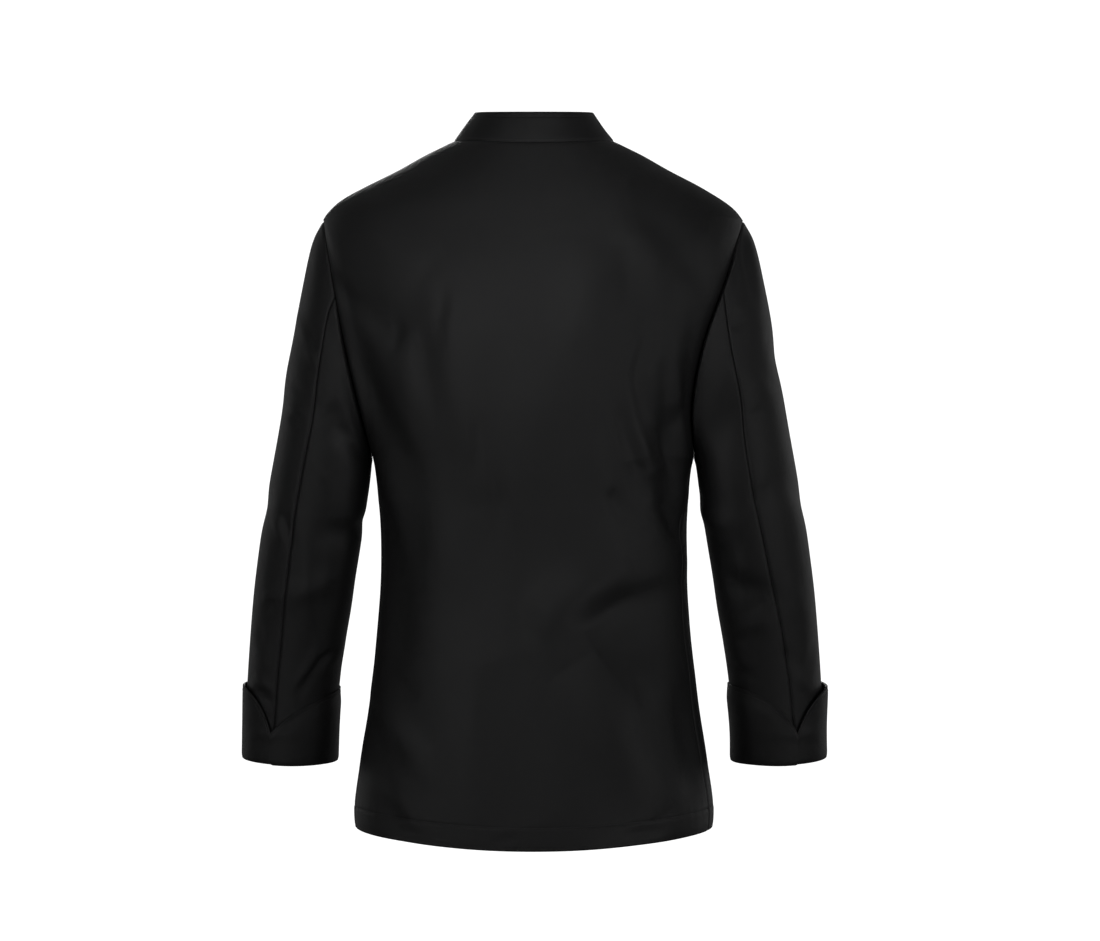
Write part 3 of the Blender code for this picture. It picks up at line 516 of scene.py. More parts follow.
BACK_CREASES = (
    # Left blade: a ridge out of the armhole with a hollow under it.
    Crease(((225, -80), (175, -105), (115, -155)), 32, 8.2),
    Crease(((220, -160), (185, -180), (135, -225)), 22, -7.6, 0.5),
    Crease(((195, -210), (180, -265), (160, -335)), 22, -6.2),
    Crease(((205, -170), (195, -205), (185, -235)), 8, -2, 0.4),
    Crease(((150, -195), (145, -210), (150, -235)), 7, -1.8, 0.3),
    Crease(((130, -210), (135, -250), (125, -300)), 13, 2.2),
    Crease(((95, -165), (95, -190), (100, -215)), 7, -1.7, 0.2),
    Crease(((85, -175), (88, -205), (85, -240)), 8, 1.6),
    # Middle of the back: one long soft ridge and short upright puckers.
    Crease(((70, -170), (70, -270), (45, -400)), 30, 4),
    Crease(((-10, -95), (-15, -190), (-10, -290)), 24, -2),
    Crease(((-50, -110), (-60, -160), (-55, -235)), 22, 3),
    Crease(((60, -310), (60, -335), (62, -370)), 6, -1.2, 0.2),
    Crease(((38, -370), (36, -395), (38, -430)), 6, -1.1, 0.2),
    Crease(((22, -360), (22, -390), (18, -430)), 6, 1),
    Crease(((10, -470), (10, -510), (15, -555)), 16, -2),
    Crease(((60, -560), (62, -610), (60, -655)), 11, 1.2),
    Crease(((-15, -560), (-25, -575), (-40, -580)), 8, -1, 0.3),
    Crease(((-50, -470), (-52, -500), (-45, -530)), 18, 1.6),
    # Right blade.
    Crease(((-100, -55), (-145, -85), (-185, -105)), 24, -3.8),
    Crease(((-85, -90), (-115, -120), (-145, -155)), 20, 3.6),
    Crease(((-95, -115), (-100, -150), (-105, -190)), 14, -1.8, 0.2),
    Crease(((-130, -135), (-135, -170), (-130, -215)), 11, 2.2),
    Crease(((-150, -125), (-175, -150), (-190, -180)), 14, -2.4),
    # Drag lines that fan out of the right underarm.
    Crease(((-125, -205), (-110, -260), (-120, -315), (-140, -350)), 11, -4.4, 0.4),
    Crease(((-135, -215), (-125, -260), (-140, -320)), 11, 3.6),
    Crease(((-160, -235), (-165, -285), (-150, -320)), 8, -3, 0.3),
    Crease(((-90, -290), (-100, -330), (-120, -370)), 10, -4, 0.4),
    Crease(((-110, -300), (-120, -350), (-145, -400)), 11, 4),
    Crease(((-140, -290), (-150, -345), (-165, -390)), 12, -5.2, 0.4),
    Crease(((-130, -360), (-145, -400), (-170, -445)), 14, -6.4, 0.3),
    Crease(((-105, -350), (-120, -400)), 10, -2.8),
    Crease(((-60, -320), (-80, -395)), 12, 1.8),
    Crease(((-80, -380), (-100, -420)), 9, -2.6, 0.3),
    # Right flank and skirt: cloth falls from a crest at the waist, then rises to one that runs to the hem.
    Crease(((5, -530), (-45, -490), (-105, -455)), 26, 6, 0.3),
    Crease(((-40, -540), (-75, -510), (-110, -490)), 12, -2.6, 0.4),
    Crease(((-60, -550), (-110, -515), (-165, -495)), 36, -9.4, -0.6),
    Crease(((-85, -620), (-120, -600), (-165, -585)), 30, 3),
    Crease(((-45, -560), (-90, -640), (-140, -730)), 30, 7.2),
    Crease(((40, -560), (20, -640), (-5, -735)), 48, -8),
    Crease(((125, -490), (120, -560), (125, -620)), 34, 4),
    Crease(((-112, -580), (-114, -615)), 7, -1.5, 0.2),
    Crease(((-155, -585), (-165, -650), (-175, -715)), 14, -2.6, 0.3),
    # Left flank and skirt.
    Crease(((110, -385), (100, -440), (110, -520)), 22, 3.6),
    Crease(((150, -390), (146, -470), (135, -560)), 25, -5.8, 0.4),
    Crease(((170, -605), (145, -635), (110, -670)), 13, 5.2),
    Crease(((175, -645), (145, -675), (110, -700)), 12, -4.4, 0.3),
    Crease(((175, -680), (150, -705), (120, -735)), 12, 4.2),
    Crease(((165, -570), (145, -590), (120, -605)), 11, -2.6),
    Crease(((175, -600), (172, -630), (165, -660)), 10, -1.8, 0.2),
    # Hem.
    Crease(((45, -754), (30, -750), (15, -747)), 4.5, -1.5, 0.3),
    Crease(((-95, -748), (-118, -745), (-140, -744)), 4.5, -1.5, 0.3),
    Crease(((145, -745), (130, -747), (115, -748)), 4, -1.2, 0.3),
    Crease(((-30, -760), (-50, -757), (-75, -757)), 4.5, 1),
)
SLEEVE_CREASES = {
    Side.LEFT: (
        Crease(((260, -185), (250, -215)), 6, 1.2),
        Crease(((245, -210), (235, -230)), 4.5, -1.8, 0.4),
        Crease(((245, -230), (235, -250)), 5, 1.4),
        Crease(((265, -265), (255, -275), (245, -275)), 6, -1.5, 0.3),
        Crease(((270, -285), (255, -300)), 6, 1.2),
        Crease(((265, -300), (255, -315)), 6, -1.5, 0.3),
        Crease(((235, -290), (210, -280)), 8, 0.9),
        Crease(((230, -305), (205, -295)), 7, -1, 0.3),
        Crease(((235, -330), (215, -325), (200, -315)), 8, -1, 0.3),
        Crease(((240, -355), (225, -375)), 7, 1.2),
        Crease(((275, -405), (270, -425), (265, -445)), 5, -2, 0.4),
        Crease(((285, -410), (275, -440)), 5, 1.4),
        Crease(((250, -420), (245, -480), (245, -540)), 10, 1.8),
        Crease(((215, -410), (215, -470), (225, -540)), 12, -2.6, 0.2),
        Crease(((300, -500), (280, -500)), 6, 1.4),
        Crease(((295, -520), (285, -495)), 5.5, -1.3, 0.2),
        Crease(((305, -530), (300, -560)), 6, -1.3, 0.2),
        Crease(((215, -555), (235, -570), (250, -590), (260, -610)), 4.8, -2.2, 0.5),
        Crease(((240, -555), (250, -580), (265, -600)), 5.2, 1.8),
        Crease(((310, -585), (290, -605)), 5.5, 1.5),
        Crease(((310, -600), (290, -620)), 4.5, -1.4, 0.3),
    ),
    Side.RIGHT: (
        Crease(((-230, -90), (-240, -125), (-250, -180)), 7, 2.2),
        Crease(((-225, -95), (-230, -130), (-240, -180)), 6, -1.6, 0.4),
        Crease(((-215, -140), (-220, -160)), 5, -1.2, 0.2),
        Crease(((-215, -185), (-230, -185)), 5, 1.3),
        Crease(((-210, -205), (-220, -205), (-230, -195)), 4.5, -1.6, 0.4),
        Crease(((-190, -200), (-200, -200)), 4.5, -1.2, 0.2),
        Crease(((-235, -260), (-260, -280)), 9, 1.4),
        Crease(((-230, -300), (-250, -300)), 6, -1.4, 0.3),
        Crease(((-240, -345), (-255, -390)), 11, 1.6),
        Crease(((-235, -400), (-260, -375)), 8, -1.2, 0.2),
        Crease(((-205, -440), (-215, -485)), 11, -1.7, 0.3),
        Crease(((-225, -450), (-230, -500)), 8, 1.4),
        Crease(((-235, -515), (-255, -505)), 7.5, -1.3, 0.3),
        Crease(((-235, -535), (-260, -525)), 8, 1),
        Crease(((-220, -545), (-235, -550)), 7, -0.9, 0.3),
        Crease(((-275, -470), (-295, -530)), 12, 1.6),
        Crease(((-275, -555), (-285, -580)), 6, -1.4, 0.3),
        Crease(((-215, -575), (-245, -590)), 6.5, -1.5, 0.3),
        Crease(((-230, -600), (-250, -625)), 5.5, 1.3),
        Crease(((-290, -580), (-300, -605)), 6, 1.4),
    ),
}
SLEEVE_FRONT_FOLDS = {
    Side.LEFT: (
        Fold((250, 3.4), (310, 4.2), 12, -2.6),
        Fold((235, 5.0), (300, 5.6), 11, 2.4),
        Fold((215, 5.8), (285, 6.3), 9, -2.8),
        Fold((240, 6.4), (320, 6.6), 10, 2.8),
        Fold((225, 7.2), (290, 7.0), 9, -2.5),
        Fold((260, 8.6), (330, 9.2), 12, 1.9),
        Fold((220, 9.8), (280, 10.4), 10, -1.9),
        Fold((210, 1.6), (250, 2.6), 12, 2.5),
    ),
    Side.RIGHT: (
        Fold((245, 3.0), (315, 3.9), 12, -2.5),
        Fold((230, 4.8), (305, 5.5), 11, 2.5),
        Fold((220, 5.6), (280, 6.2), 9, -2.7),
        Fold((235, 6.6), (325, 6.7), 10, 2.7),
        Fold((230, 7.5), (300, 7.2), 9, -2.4),
        Fold((255, 8.8), (320, 9.5), 12, 2),
        Fold((215, 9.6), (270, 10.2), 10, -1.9),
        Fold((205, 1.4), (255, 2.4), 12, 2.4),
    ),
}
FRONT_FOLDS = (
    Fold((1.10, -0.100), (1.42, -0.200), 14, 2.2),
    Fold((1.18, -0.240), (1.46, -0.330), 12, -2.2),
    Fold((1.08, -0.330), (1.34, -0.440), 10, 2),
    Fold((1.06, -0.380), (1.30, -0.500), 10, -2),
    Fold((1.30, -0.560), (1.24, -0.720), 16, 2.2),
    Fold((1.50, -0.600), (1.46, -0.740), 14, -1.8),
    Fold((1.66, -0.440), (1.52, -0.480), 10, -1.5),
    Fold((1.70, -0.190), (1.62, -0.215), 9, -1.3),
    Fold((1.72, -0.282), (1.60, -0.300), 9, 1.3),
    Fold((-1.10, -0.110), (-1.40, -0.215), 14, 2),
    Fold((-1.16, -0.250), (-1.42, -0.350), 12, -2.2),
    Fold((-1.07, -0.345), (-1.32, -0.460), 10, 2.2),
    Fold((-1.05, -0.400), (-1.28, -0.520), 10, -1.8),
    Fold((-1.28, -0.570), (-1.22, -0.730), 16, 2.2),
    Fold((-1.46, -0.610), (-1.42, -0.745), 14, -1.8),
    Fold((1.90, -0.560), (1.88, -0.730), 18, 1.8),
    Fold((-1.90, -0.480), (-1.94, -0.700), 16, -1.5),
    Fold((1.84, -0.150), (1.90, -0.330), 14, 1.3),
)


@dataclass(frozen=True)
class Ring:
    """Ring of a sleeve: its outer and inner edge, half depth and middle in Y."""

    outer_x: float
    outer_z: float
    inner_x: float
    inner_z: float
    half_depth: float
    middle: float


@dataclass(frozen=True)
class CuffShape:
    """Edges of a turned-back cuff with a pointed notch over the sleeve's back seam."""

    side: Side
    top: float = -0.598
    bottom: float = -0.6835
    bottom_tilt: float = 0.004
    low_angle: float = 120.0
    notch_depth: float = 0.054
    notch_angle: float = 70.0
    lap_step: float = 0.0009
    lap_rise: float = 3.0
    lap_even: float = 10.0
    lap_fade: float = 60.0

    def away(self, angle: Grid) -> Grid:
        """Degrees round the sleeve from the notch, above zero towards the inner edge."""
        return np.mod(np.degrees(angle) - self.notch_angle + 180.0, 360.0) - 180.0

    def top_edge(self, angle: Grid) -> Grid:
        """Height of the cuff's top edge."""
        outer_spread, inner_spread = (21.0, 52.0) if self.side is Side.LEFT else (25.0, 30.0)
        away = self.away(angle)
        spread = np.where(away < 0, outer_spread, inner_spread)
        return self.top - self.notch_depth * np.exp(-np.abs(away) / spread)

    def bottom_edge(self, angle: Grid) -> Grid:
        """Height of the cuff's turned lower edge."""
        away = self.away(angle)
        step = smooth_step(away / self.lap_rise) * (1 - smooth_step((away - self.lap_even) / self.lap_fade))
        tilt = self.bottom_tilt * np.cos(angle - math.radians(self.low_angle))
        return self.bottom - tilt - self.lap_step * step


@dataclass(frozen=True)
class SleeveForm:
    """Smooth form of one sleeve and its folds.

    Angles run round the sleeve: 0 is its outer edge, 90 the back, 180 the inner edge and 270 the front.
    Rings run from 0 at the armhole to 13 at the wrist.
    """

    side: Side
    body: BodyForm = BodyForm()
    rings: tuple[Ring, ...] = (
        Ring(0.2310, -0.087, 0.1775, -0.347, 0.0600, 0.002),
        Ring(0.2435, -0.112, 0.1780, -0.350, 0.0610, -0.001),
        Ring(0.2545, -0.160, 0.1787, -0.355, 0.0610, -0.003),
        Ring(0.2640, -0.210, 0.1797, -0.364, 0.0600, -0.006),
        Ring(0.2722, -0.262, 0.1815, -0.378, 0.0590, -0.009),
        Ring(0.2804, -0.310, 0.1845, -0.397, 0.0575, -0.013),
        Ring(0.2892, -0.356, 0.1882, -0.421, 0.0560, -0.018),
        Ring(0.2982, -0.400, 0.1930, -0.449, 0.0545, -0.024),
        Ring(0.3052, -0.446, 0.1985, -0.480, 0.0525, -0.031),
        Ring(0.3119, -0.494, 0.2038, -0.514, 0.0500, -0.039),
        Ring(0.3169, -0.544, 0.2108, -0.552, 0.0475, -0.047),
        Ring(0.3210, -0.596, 0.2175, -0.596, 0.0450, -0.054),
        Ring(0.3237, -0.644, 0.2214, -0.644, 0.0435, -0.060),
        Ring(0.3262, -0.700, 0.2235, -0.700, 0.0425, -0.066),
    )
    head_blend: float = 3.6
    armhole_half_gap: float = 0.0003
    end: float = 12.45
    front_seam: float = 236.0
    radius: float = 0.054
    ring_pitch: float = 0.046
    head_fold_fade: float = 0.8
    fade_start: float = 10.2
    fade_end: float = 11.0
    back_sharpness: float = 2.5
    cuff_margin: float = 0.001
    cuff_fade: float = 0.008

    def back_seam(self, ring: Grid) -> Grid:
        """Angle of the back seam at a ring."""
        if self.side is Side.LEFT:
            angles = (71.0, 72.0, 72.0, 71.0, 73.0, 74.0, 72.0)
        else:
            angles = (66.0, 82.0, 89.0, 89.5, 85.0, 77.0, 72.0)
        return np.radians(smooth_table(np.linspace(0.0, self.end, len(angles)), angles, ring))

    def value(self, column: str, ring: Grid) -> Grid:
        """Read one column of the rings."""
        return smooth_table(range(len(self.rings)), [getattr(r, column) for r in self.rings], ring)

    def ring_at_height(self, height: Grid) -> Grid:
        """Ring whose middle is at a height."""
        middles = [-(r.outer_z + r.inner_z) / 2 for r in self.rings]
        return smooth_table(middles, range(len(self.rings)), -height)

    def first_height(self, angle: Grid) -> Grid:
        """Height of the armhole's edge at an angle round the sleeve."""
        middle, reach = self.body.armhole_span()
        return middle + reach * np.cos(angle)

    def point(self, angle: Grid, ring: Grid) -> Grid:
        """Point on the smooth sleeve."""
        cosine, sine = np.cos(angle), np.sin(angle)
        outer_x, outer_z = self.value("outer_x", ring), self.value("outer_z", ring)
        inner_x, inner_z = self.value("inner_x", ring), self.value("inner_z", ring)
        x = (outer_x + inner_x) / 2 + (outer_x - inner_x) / 2 * cosine
        z = (outer_z + inner_z) / 2 + (outer_z - inner_z) / 2 * cosine
        y = self.value("middle", ring) + self.value("half_depth", ring) * sine
        first = self.rings[0]
        first_z = self.first_height(angle)
        first_x = (first.outer_x + first.inner_x) / 2 + (first.outer_x - first.inner_x) / 2 * cosine
        fade = 1 - smooth_step(ring / self.head_blend)
        x = x + fade * (self.body.armhole_line(self.side, first_z) + self.armhole_half_gap - first_x)
        deeper = (self.body.armhole_half_depth - first.half_depth) * sine
        y = y + fade * (self.body.section_value("middle", first_z) + deeper - first.middle)
        return np.stack([self.side.sign * x, y, z], axis=-1)

    def normal(self, angle: Grid, ring: Grid) -> Grid:
        """Outward direction of the smooth sleeve."""
        step = 0.02
        low = np.maximum(ring - step, 0.0)
        high = np.minimum(ring + step, len(self.rings) - 1.0)
        round_sleeve = self.point(angle + step, ring) - self.point(angle - step, ring)
        down_sleeve = self.point(angle, high) - self.point(angle, low)
        return unit(np.cross(round_sleeve, down_sleeve)) * -self.side.sign

    def fold_height(self, angle: Grid, ring: Grid) -> Grid:
        """Height of the folds and creases."""
        scale = (self.radius * math.pi / 180, self.ring_pitch)
        total = 0.0
        for turn in (-360.0, 0.0, 360.0):
            total = total + fold_height(SLEEVE_FOLDS[self.side], np.degrees(angle) + turn, ring, scale)
        total = total * (1 - smooth_step((ring - self.fade_start) / (self.fade_end - self.fade_start)))
        base = self.point(angle, ring)
        on_back = smooth_step(np.sin(angle) * self.back_sharpness)
        above_cuff = base[..., 2] - CuffShape(self.side).top_edge(angle)
        clear = smooth_step((above_cuff - self.cuff_margin) / self.cuff_fade)
        fine = crease_height(SLEEVE_CREASES[self.side], base[..., 0], base[..., 2])
        total = total + on_back * clear * fine
        total = total + (1 - on_back) * self.front_creases(angle, ring)
        return total * smooth_step(ring / self.head_fold_fade)

    def front_creases(self, angle: Grid, ring: Grid) -> Grid:
        """Height of the creases at the front of the elbow and above the wrist."""
        scale = (self.radius * math.pi / 180, self.ring_pitch)
        degrees = np.mod(np.degrees(angle), 360.0)
        return fold_height(SLEEVE_FRONT_FOLDS[self.side], degrees, ring, scale)


@dataclass
class Sheet:
    """Grid of cloth points with the wall's inner side and the cloth's own coordinates.

    Rows and columns run so that columns go round the piece and rows along it.
    """

    outer: Grid
    inner: Grid
    cloth: Grid
    closed_round: bool = False
    round_first_row: bool = False
    round_last_row: bool = False
    round_last_column: bool = False

    def draw_in(self, depth: Grid) -> None:
        """Move each point towards the jacket's front by its own depth."""
        self.outer[..., 1] -= depth
        self.inner[..., 1] -= depth

    def faces(self) -> list[tuple[int, int, int, int]]:
        """Quads of both sides and of the edges, all facing out."""
        rows, columns = self.outer.shape[:2]
        count = rows * columns
        span = columns if self.closed_round else columns - 1
        row, column = np.meshgrid(np.arange(rows - 1), np.arange(span), indexing="ij")
        first = row * columns + column
        second = row * columns + (column + 1) % columns
        quads = np.stack([first, second, second + columns, first + columns], -1).reshape(-1, 4)
        return np.concatenate([quads[:, ::-1], quads + count])

    def runs(self) -> list[list[tuple[int, int]]]:
        """Closed runs of grid places that bound the sheet."""
        rows, columns = self.outer.shape[:2]
        low = [(0, c) for c in range(columns)]
        top = [(rows - 1, c) for c in reversed(range(columns))]
        if self.closed_round:
            return [low, top]
        right = [(r, columns - 1) for r in range(1, rows - 1)]
        left = [(r, 0) for r in range(rows - 2, 0, -1)]
        return [low + right + top + left]

    def bulge(self, row: int, column: int) -> Grid:
        """How far the middle of the wall's edge stands out at a grid place."""
        share = 0.42
        rows, columns = self.outer.shape[:2]
        wall = np.linalg.norm(self.outer[row, column] - self.inner[row, column])
        out = np.zeros(3)
        if row == 0 and self.round_first_row:
            out = out + unit(self.outer[0, column] - self.outer[1, column])
        if row == rows - 1 and self.round_last_row:
            out = out + unit(self.outer[-1, column] - self.outer[-2, column])
        if column == columns - 1 and self.round_last_column:
            out = out + unit(self.outer[row, -1] - self.outer[row, -2])
        return unit(out) * wall * share if out.any() else out

    def mesh(self, name: str) -> Mesh:
        """Make a closed wall of both sides and the edges between them.

        Args:
            name: Name of the mesh.

        Returns:
            The mesh, with the cloth's coordinates as its UV map.
        """
        rows, columns = self.outer.shape[:2]
        count = rows * columns
        points = np.concatenate([self.outer.reshape(-1, 3), self.inner.reshape(-1, 3)])
        cloth = np.concatenate([self.cloth.reshape(-1, 2), self.cloth.reshape(-1, 2)])
        faces = [tuple(face) for face in self.faces()]
        extra, extra_cloth = [], []
        for run in self.runs():
            middles = []
            for row, column in run:
                middle = (self.outer[row, column] + self.inner[row, column]) / 2
                middles.append(2 * count + len(extra))
                extra.append(middle + self.bulge(row, column))
                extra_cloth.append(self.cloth[row, column])
            for place, (row, column) in enumerate(run):
                after = (place + 1) % len(run)
                first = row * columns + column
                second = run[after][0] * columns + run[after][1]
                faces.append((first, second, middles[after], middles[place]))
                faces.append((middles[place], middles[after], second + count, first + count))
        cloth = np.concatenate([cloth, np.array(extra_cloth)])
        data = new_mesh(name, np.concatenate([points, np.array(extra)]), faces)
        layer = data.uv_layers.new(name="cloth")
        corners = np.zeros(len(data.loops), np.int32)
        data.loops.foreach_get("vertex_index", corners)
        layer.data.foreach_set("uv", cloth[corners].ravel())
        data.validate()
        return data


def new_mesh(name: str, points: Iterable[Sequence[float]], faces: Sequence[tuple[int, ...]]) -> Mesh:
    """Make a smooth mesh of points and faces."""
    data = bpy.data.meshes.new(name)
    data.from_pydata([tuple(point) for point in points], [], faces)
    data.shade_smooth()
    return data


def run_lengths(grid: Grid, axis: int) -> Grid:
    """Running length along each row (axis 1) or column (axis 0) of a grid of points."""
    steps = np.linalg.norm(np.diff(grid, axis=axis), axis=-1)
    zero = np.zeros_like(np.take(steps, [0], axis=axis))
    return np.concatenate([zero, np.cumsum(steps, axis=axis)], axis=axis)


def groove(distance: Grid, depth: float, half_width: float) -> Grid:
    """Depth of a soft groove at a distance from its line, from its full depth and half width."""
    return depth * np.exp(-((distance / half_width) ** 2))


def graded(count: int, close_to: Sequence[float], pitch: float, rows: int = 5) -> Grid:
    """Shares from 0 to 1 with extra ones close to some places.

    Args:
        count: How many even steps.
        close_to: Places that need finer steps.
        pitch: Step between the extra shares.
        rows: Extra shares on each side of a place.

    Returns:
        Rising shares.
    """
    shares = list(np.linspace(0.0, 1.0, count + 1))
    for place in close_to:
        shares.extend(place + pitch * step for step in range(-rows, rows + 1))
    shares = np.unique(np.clip(shares, 0.0, 1.0))
    least = pitch * 0.45
    kept = [0.0]
    for share in shares[1:-1]:
        if share - kept[-1] > least and 1.0 - share > least:
            kept.append(float(share))
    return np.array(kept + [1.0])


def evened(values: Grid, heights: Grid, reach: float) -> Grid:
    """Running average of one value a row, over a reach of height."""
    weight = np.exp(-(((heights[:, None] - heights[None]) / reach) ** 2)) * np.gradient(heights)[None]
    return (weight * values[None]).sum(axis=1) / weight.sum(axis=1)


def add_piece(
    data: Mesh, replaces: Sequence[str], finish: Material
) -> Piece:
    """Put a piece in the scene, riding on the jacket.

    Args:
        data: The piece's mesh.
        replaces: CAD nodes that the piece stands for.
        finish: The piece's material.

    Returns:
        The new object.
    """
    piece = bpy.data.objects.new(data.name, data)
    bpy.context.scene.collection.objects.link(piece)
    data.materials.append(finish)
    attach(piece, "root")
    if replaces:
        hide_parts(*replaces)
    LOG.info("%s: %d faces", piece.name, len(data.polygons))
    return piece


@dataclass(frozen=True)
class StitchRun:
    """Lockstitches of one thread along a line of points."""

    points: Grid
    normals: Grid
    length: float = 0.0027
    gap: float = 0.0006
    radius: float = 0.00022

    def places(self) -> list[tuple[Grid, Grid, Grid]]:
        """Ends and outward direction of each stitch."""
        steps = np.linalg.norm(np.diff(self.points, axis=0), axis=-1)
        run = np.concatenate([[0.0], np.cumsum(steps)])
        starts = np.arange(self.gap, run[-1] - self.length, self.length + self.gap)
        rows = []
        for start in starts:
            wanted = ((self.points, start), (self.points, start + self.length), (self.normals, start))
            first, second, normal = (
                np.array([np.interp(at, run, table[:, axis]) for axis in range(3)]) for table, at in wanted
            )
            rows.append((first, second, unit(normal)))
        return rows

    def add_to(self, points: list[Grid], faces: list[tuple[int, ...]]) -> None:
        """Add each stitch as a bowed bar of thread, its ends sunk in the cloth."""
        sections = ((0.0, -0.9, 0.5), (0.2, 0.6, 1.0), (0.8, 0.6, 1.0), (1.0, -0.9, 0.5))
        sides = 5
        for first, second, normal in self.places():
            aside = unit(np.cross(second - first, normal)) * self.radius
            up = normal * self.radius
            base = len(points)
            for share, lift, width in sections:
                middle = first + (second - first) * share + normal * self.radius * lift
                for turn in range(sides):
                    angle = 2 * math.pi * turn / sides
                    points.append(middle + (aside * math.cos(angle) + up * math.sin(angle)) * width)
            last = base + (len(sections) - 1) * sides
            for low in range(base, last, sides):
                for turn in range(sides):
                    after = (turn + 1) % sides
                    faces.append((low + turn, low + after, low + sides + after, low + sides + turn))
            faces.append(tuple(base + turn for turn in reversed(range(sides))))
            faces.append(tuple(last + turn for turn in range(sides)))


def stitch_mesh(name: str, runs: Iterable[StitchRun]) -> Mesh:
    """Mesh of several runs of stitches."""
    points: list[Grid] = []
    faces: list[tuple[int, ...]] = []
    for run in runs:
        run.add_to(points, faces)
    return new_mesh(name, points, faces)


@dataclass(frozen=True)
class ShaderTree:
    """Node tree of a finish or of the surround, with the nodes that they share."""

    base: bpy.types.NodeTree

    def node(self, kind: str) -> Node:
        """Add a node."""
        return self.base.nodes.new(f"ShaderNode{kind}")

    def link(self, source: Socket, target: Socket) -> None:
        """Join two sockets."""
        self.base.links.new(source, target)

    def weighted(self, value: Socket, share: float, start: Socket | None = None) -> Socket:
        """A share of a value, on top of a start where there is one."""
        node = self.node("Math")
        node.operation = "MULTIPLY" if start is None else "MULTIPLY_ADD"
        node.inputs[1].default_value = share
        self.link(value, node.inputs[0])
        if start is not None:
            self.link(start, node.inputs[2])
        return node.outputs[0]

    def ranged(self, value: Socket, before: Pair, after: Pair, easing: str = "LINEAR") -> Socket:
        """Carry a value from its own range over to another."""
        node = self.node("MapRange")
        node.interpolation_type = easing
        for name, number in zip(("From Min", "From Max", "To Min", "To Max"), (*before, *after)):
            node.inputs[name].default_value = number
        self.link(value, node.inputs["Value"])
        return node.outputs["Result"]

    def mixed(self, factor: Socket, dark: Triple, light: Triple) -> Socket:
        """Colour between a dark and a light one."""
        node = self.node("Mix")
        node.data_type = "RGBA"
        node.inputs["A"].default_value = (*dark, 1.0)
        node.inputs["B"].default_value = (*light, 1.0)
        self.link(factor, node.inputs["Factor"])
        return node.outputs["Result"]

    def bumped(self, height: Socket, strength: float, distance: float) -> Node:
        """Bump from a height that runs from 0 to 1 over a distance."""
        node = self.node("Bump")
        node.inputs["Strength"].default_value = strength
        node.inputs["Distance"].default_value = distance
        self.link(height, node.inputs["Height"])
        return node


def new_material(name: str) -> tuple[Material, ShaderTree, Node]:
    """Make a material, and give its node tree and its shader with it."""
    material = bpy.data.materials.new(name)
    material.use_nodes = True
    return material, ShaderTree(material.node_tree), material.node_tree.nodes["Principled BSDF"]


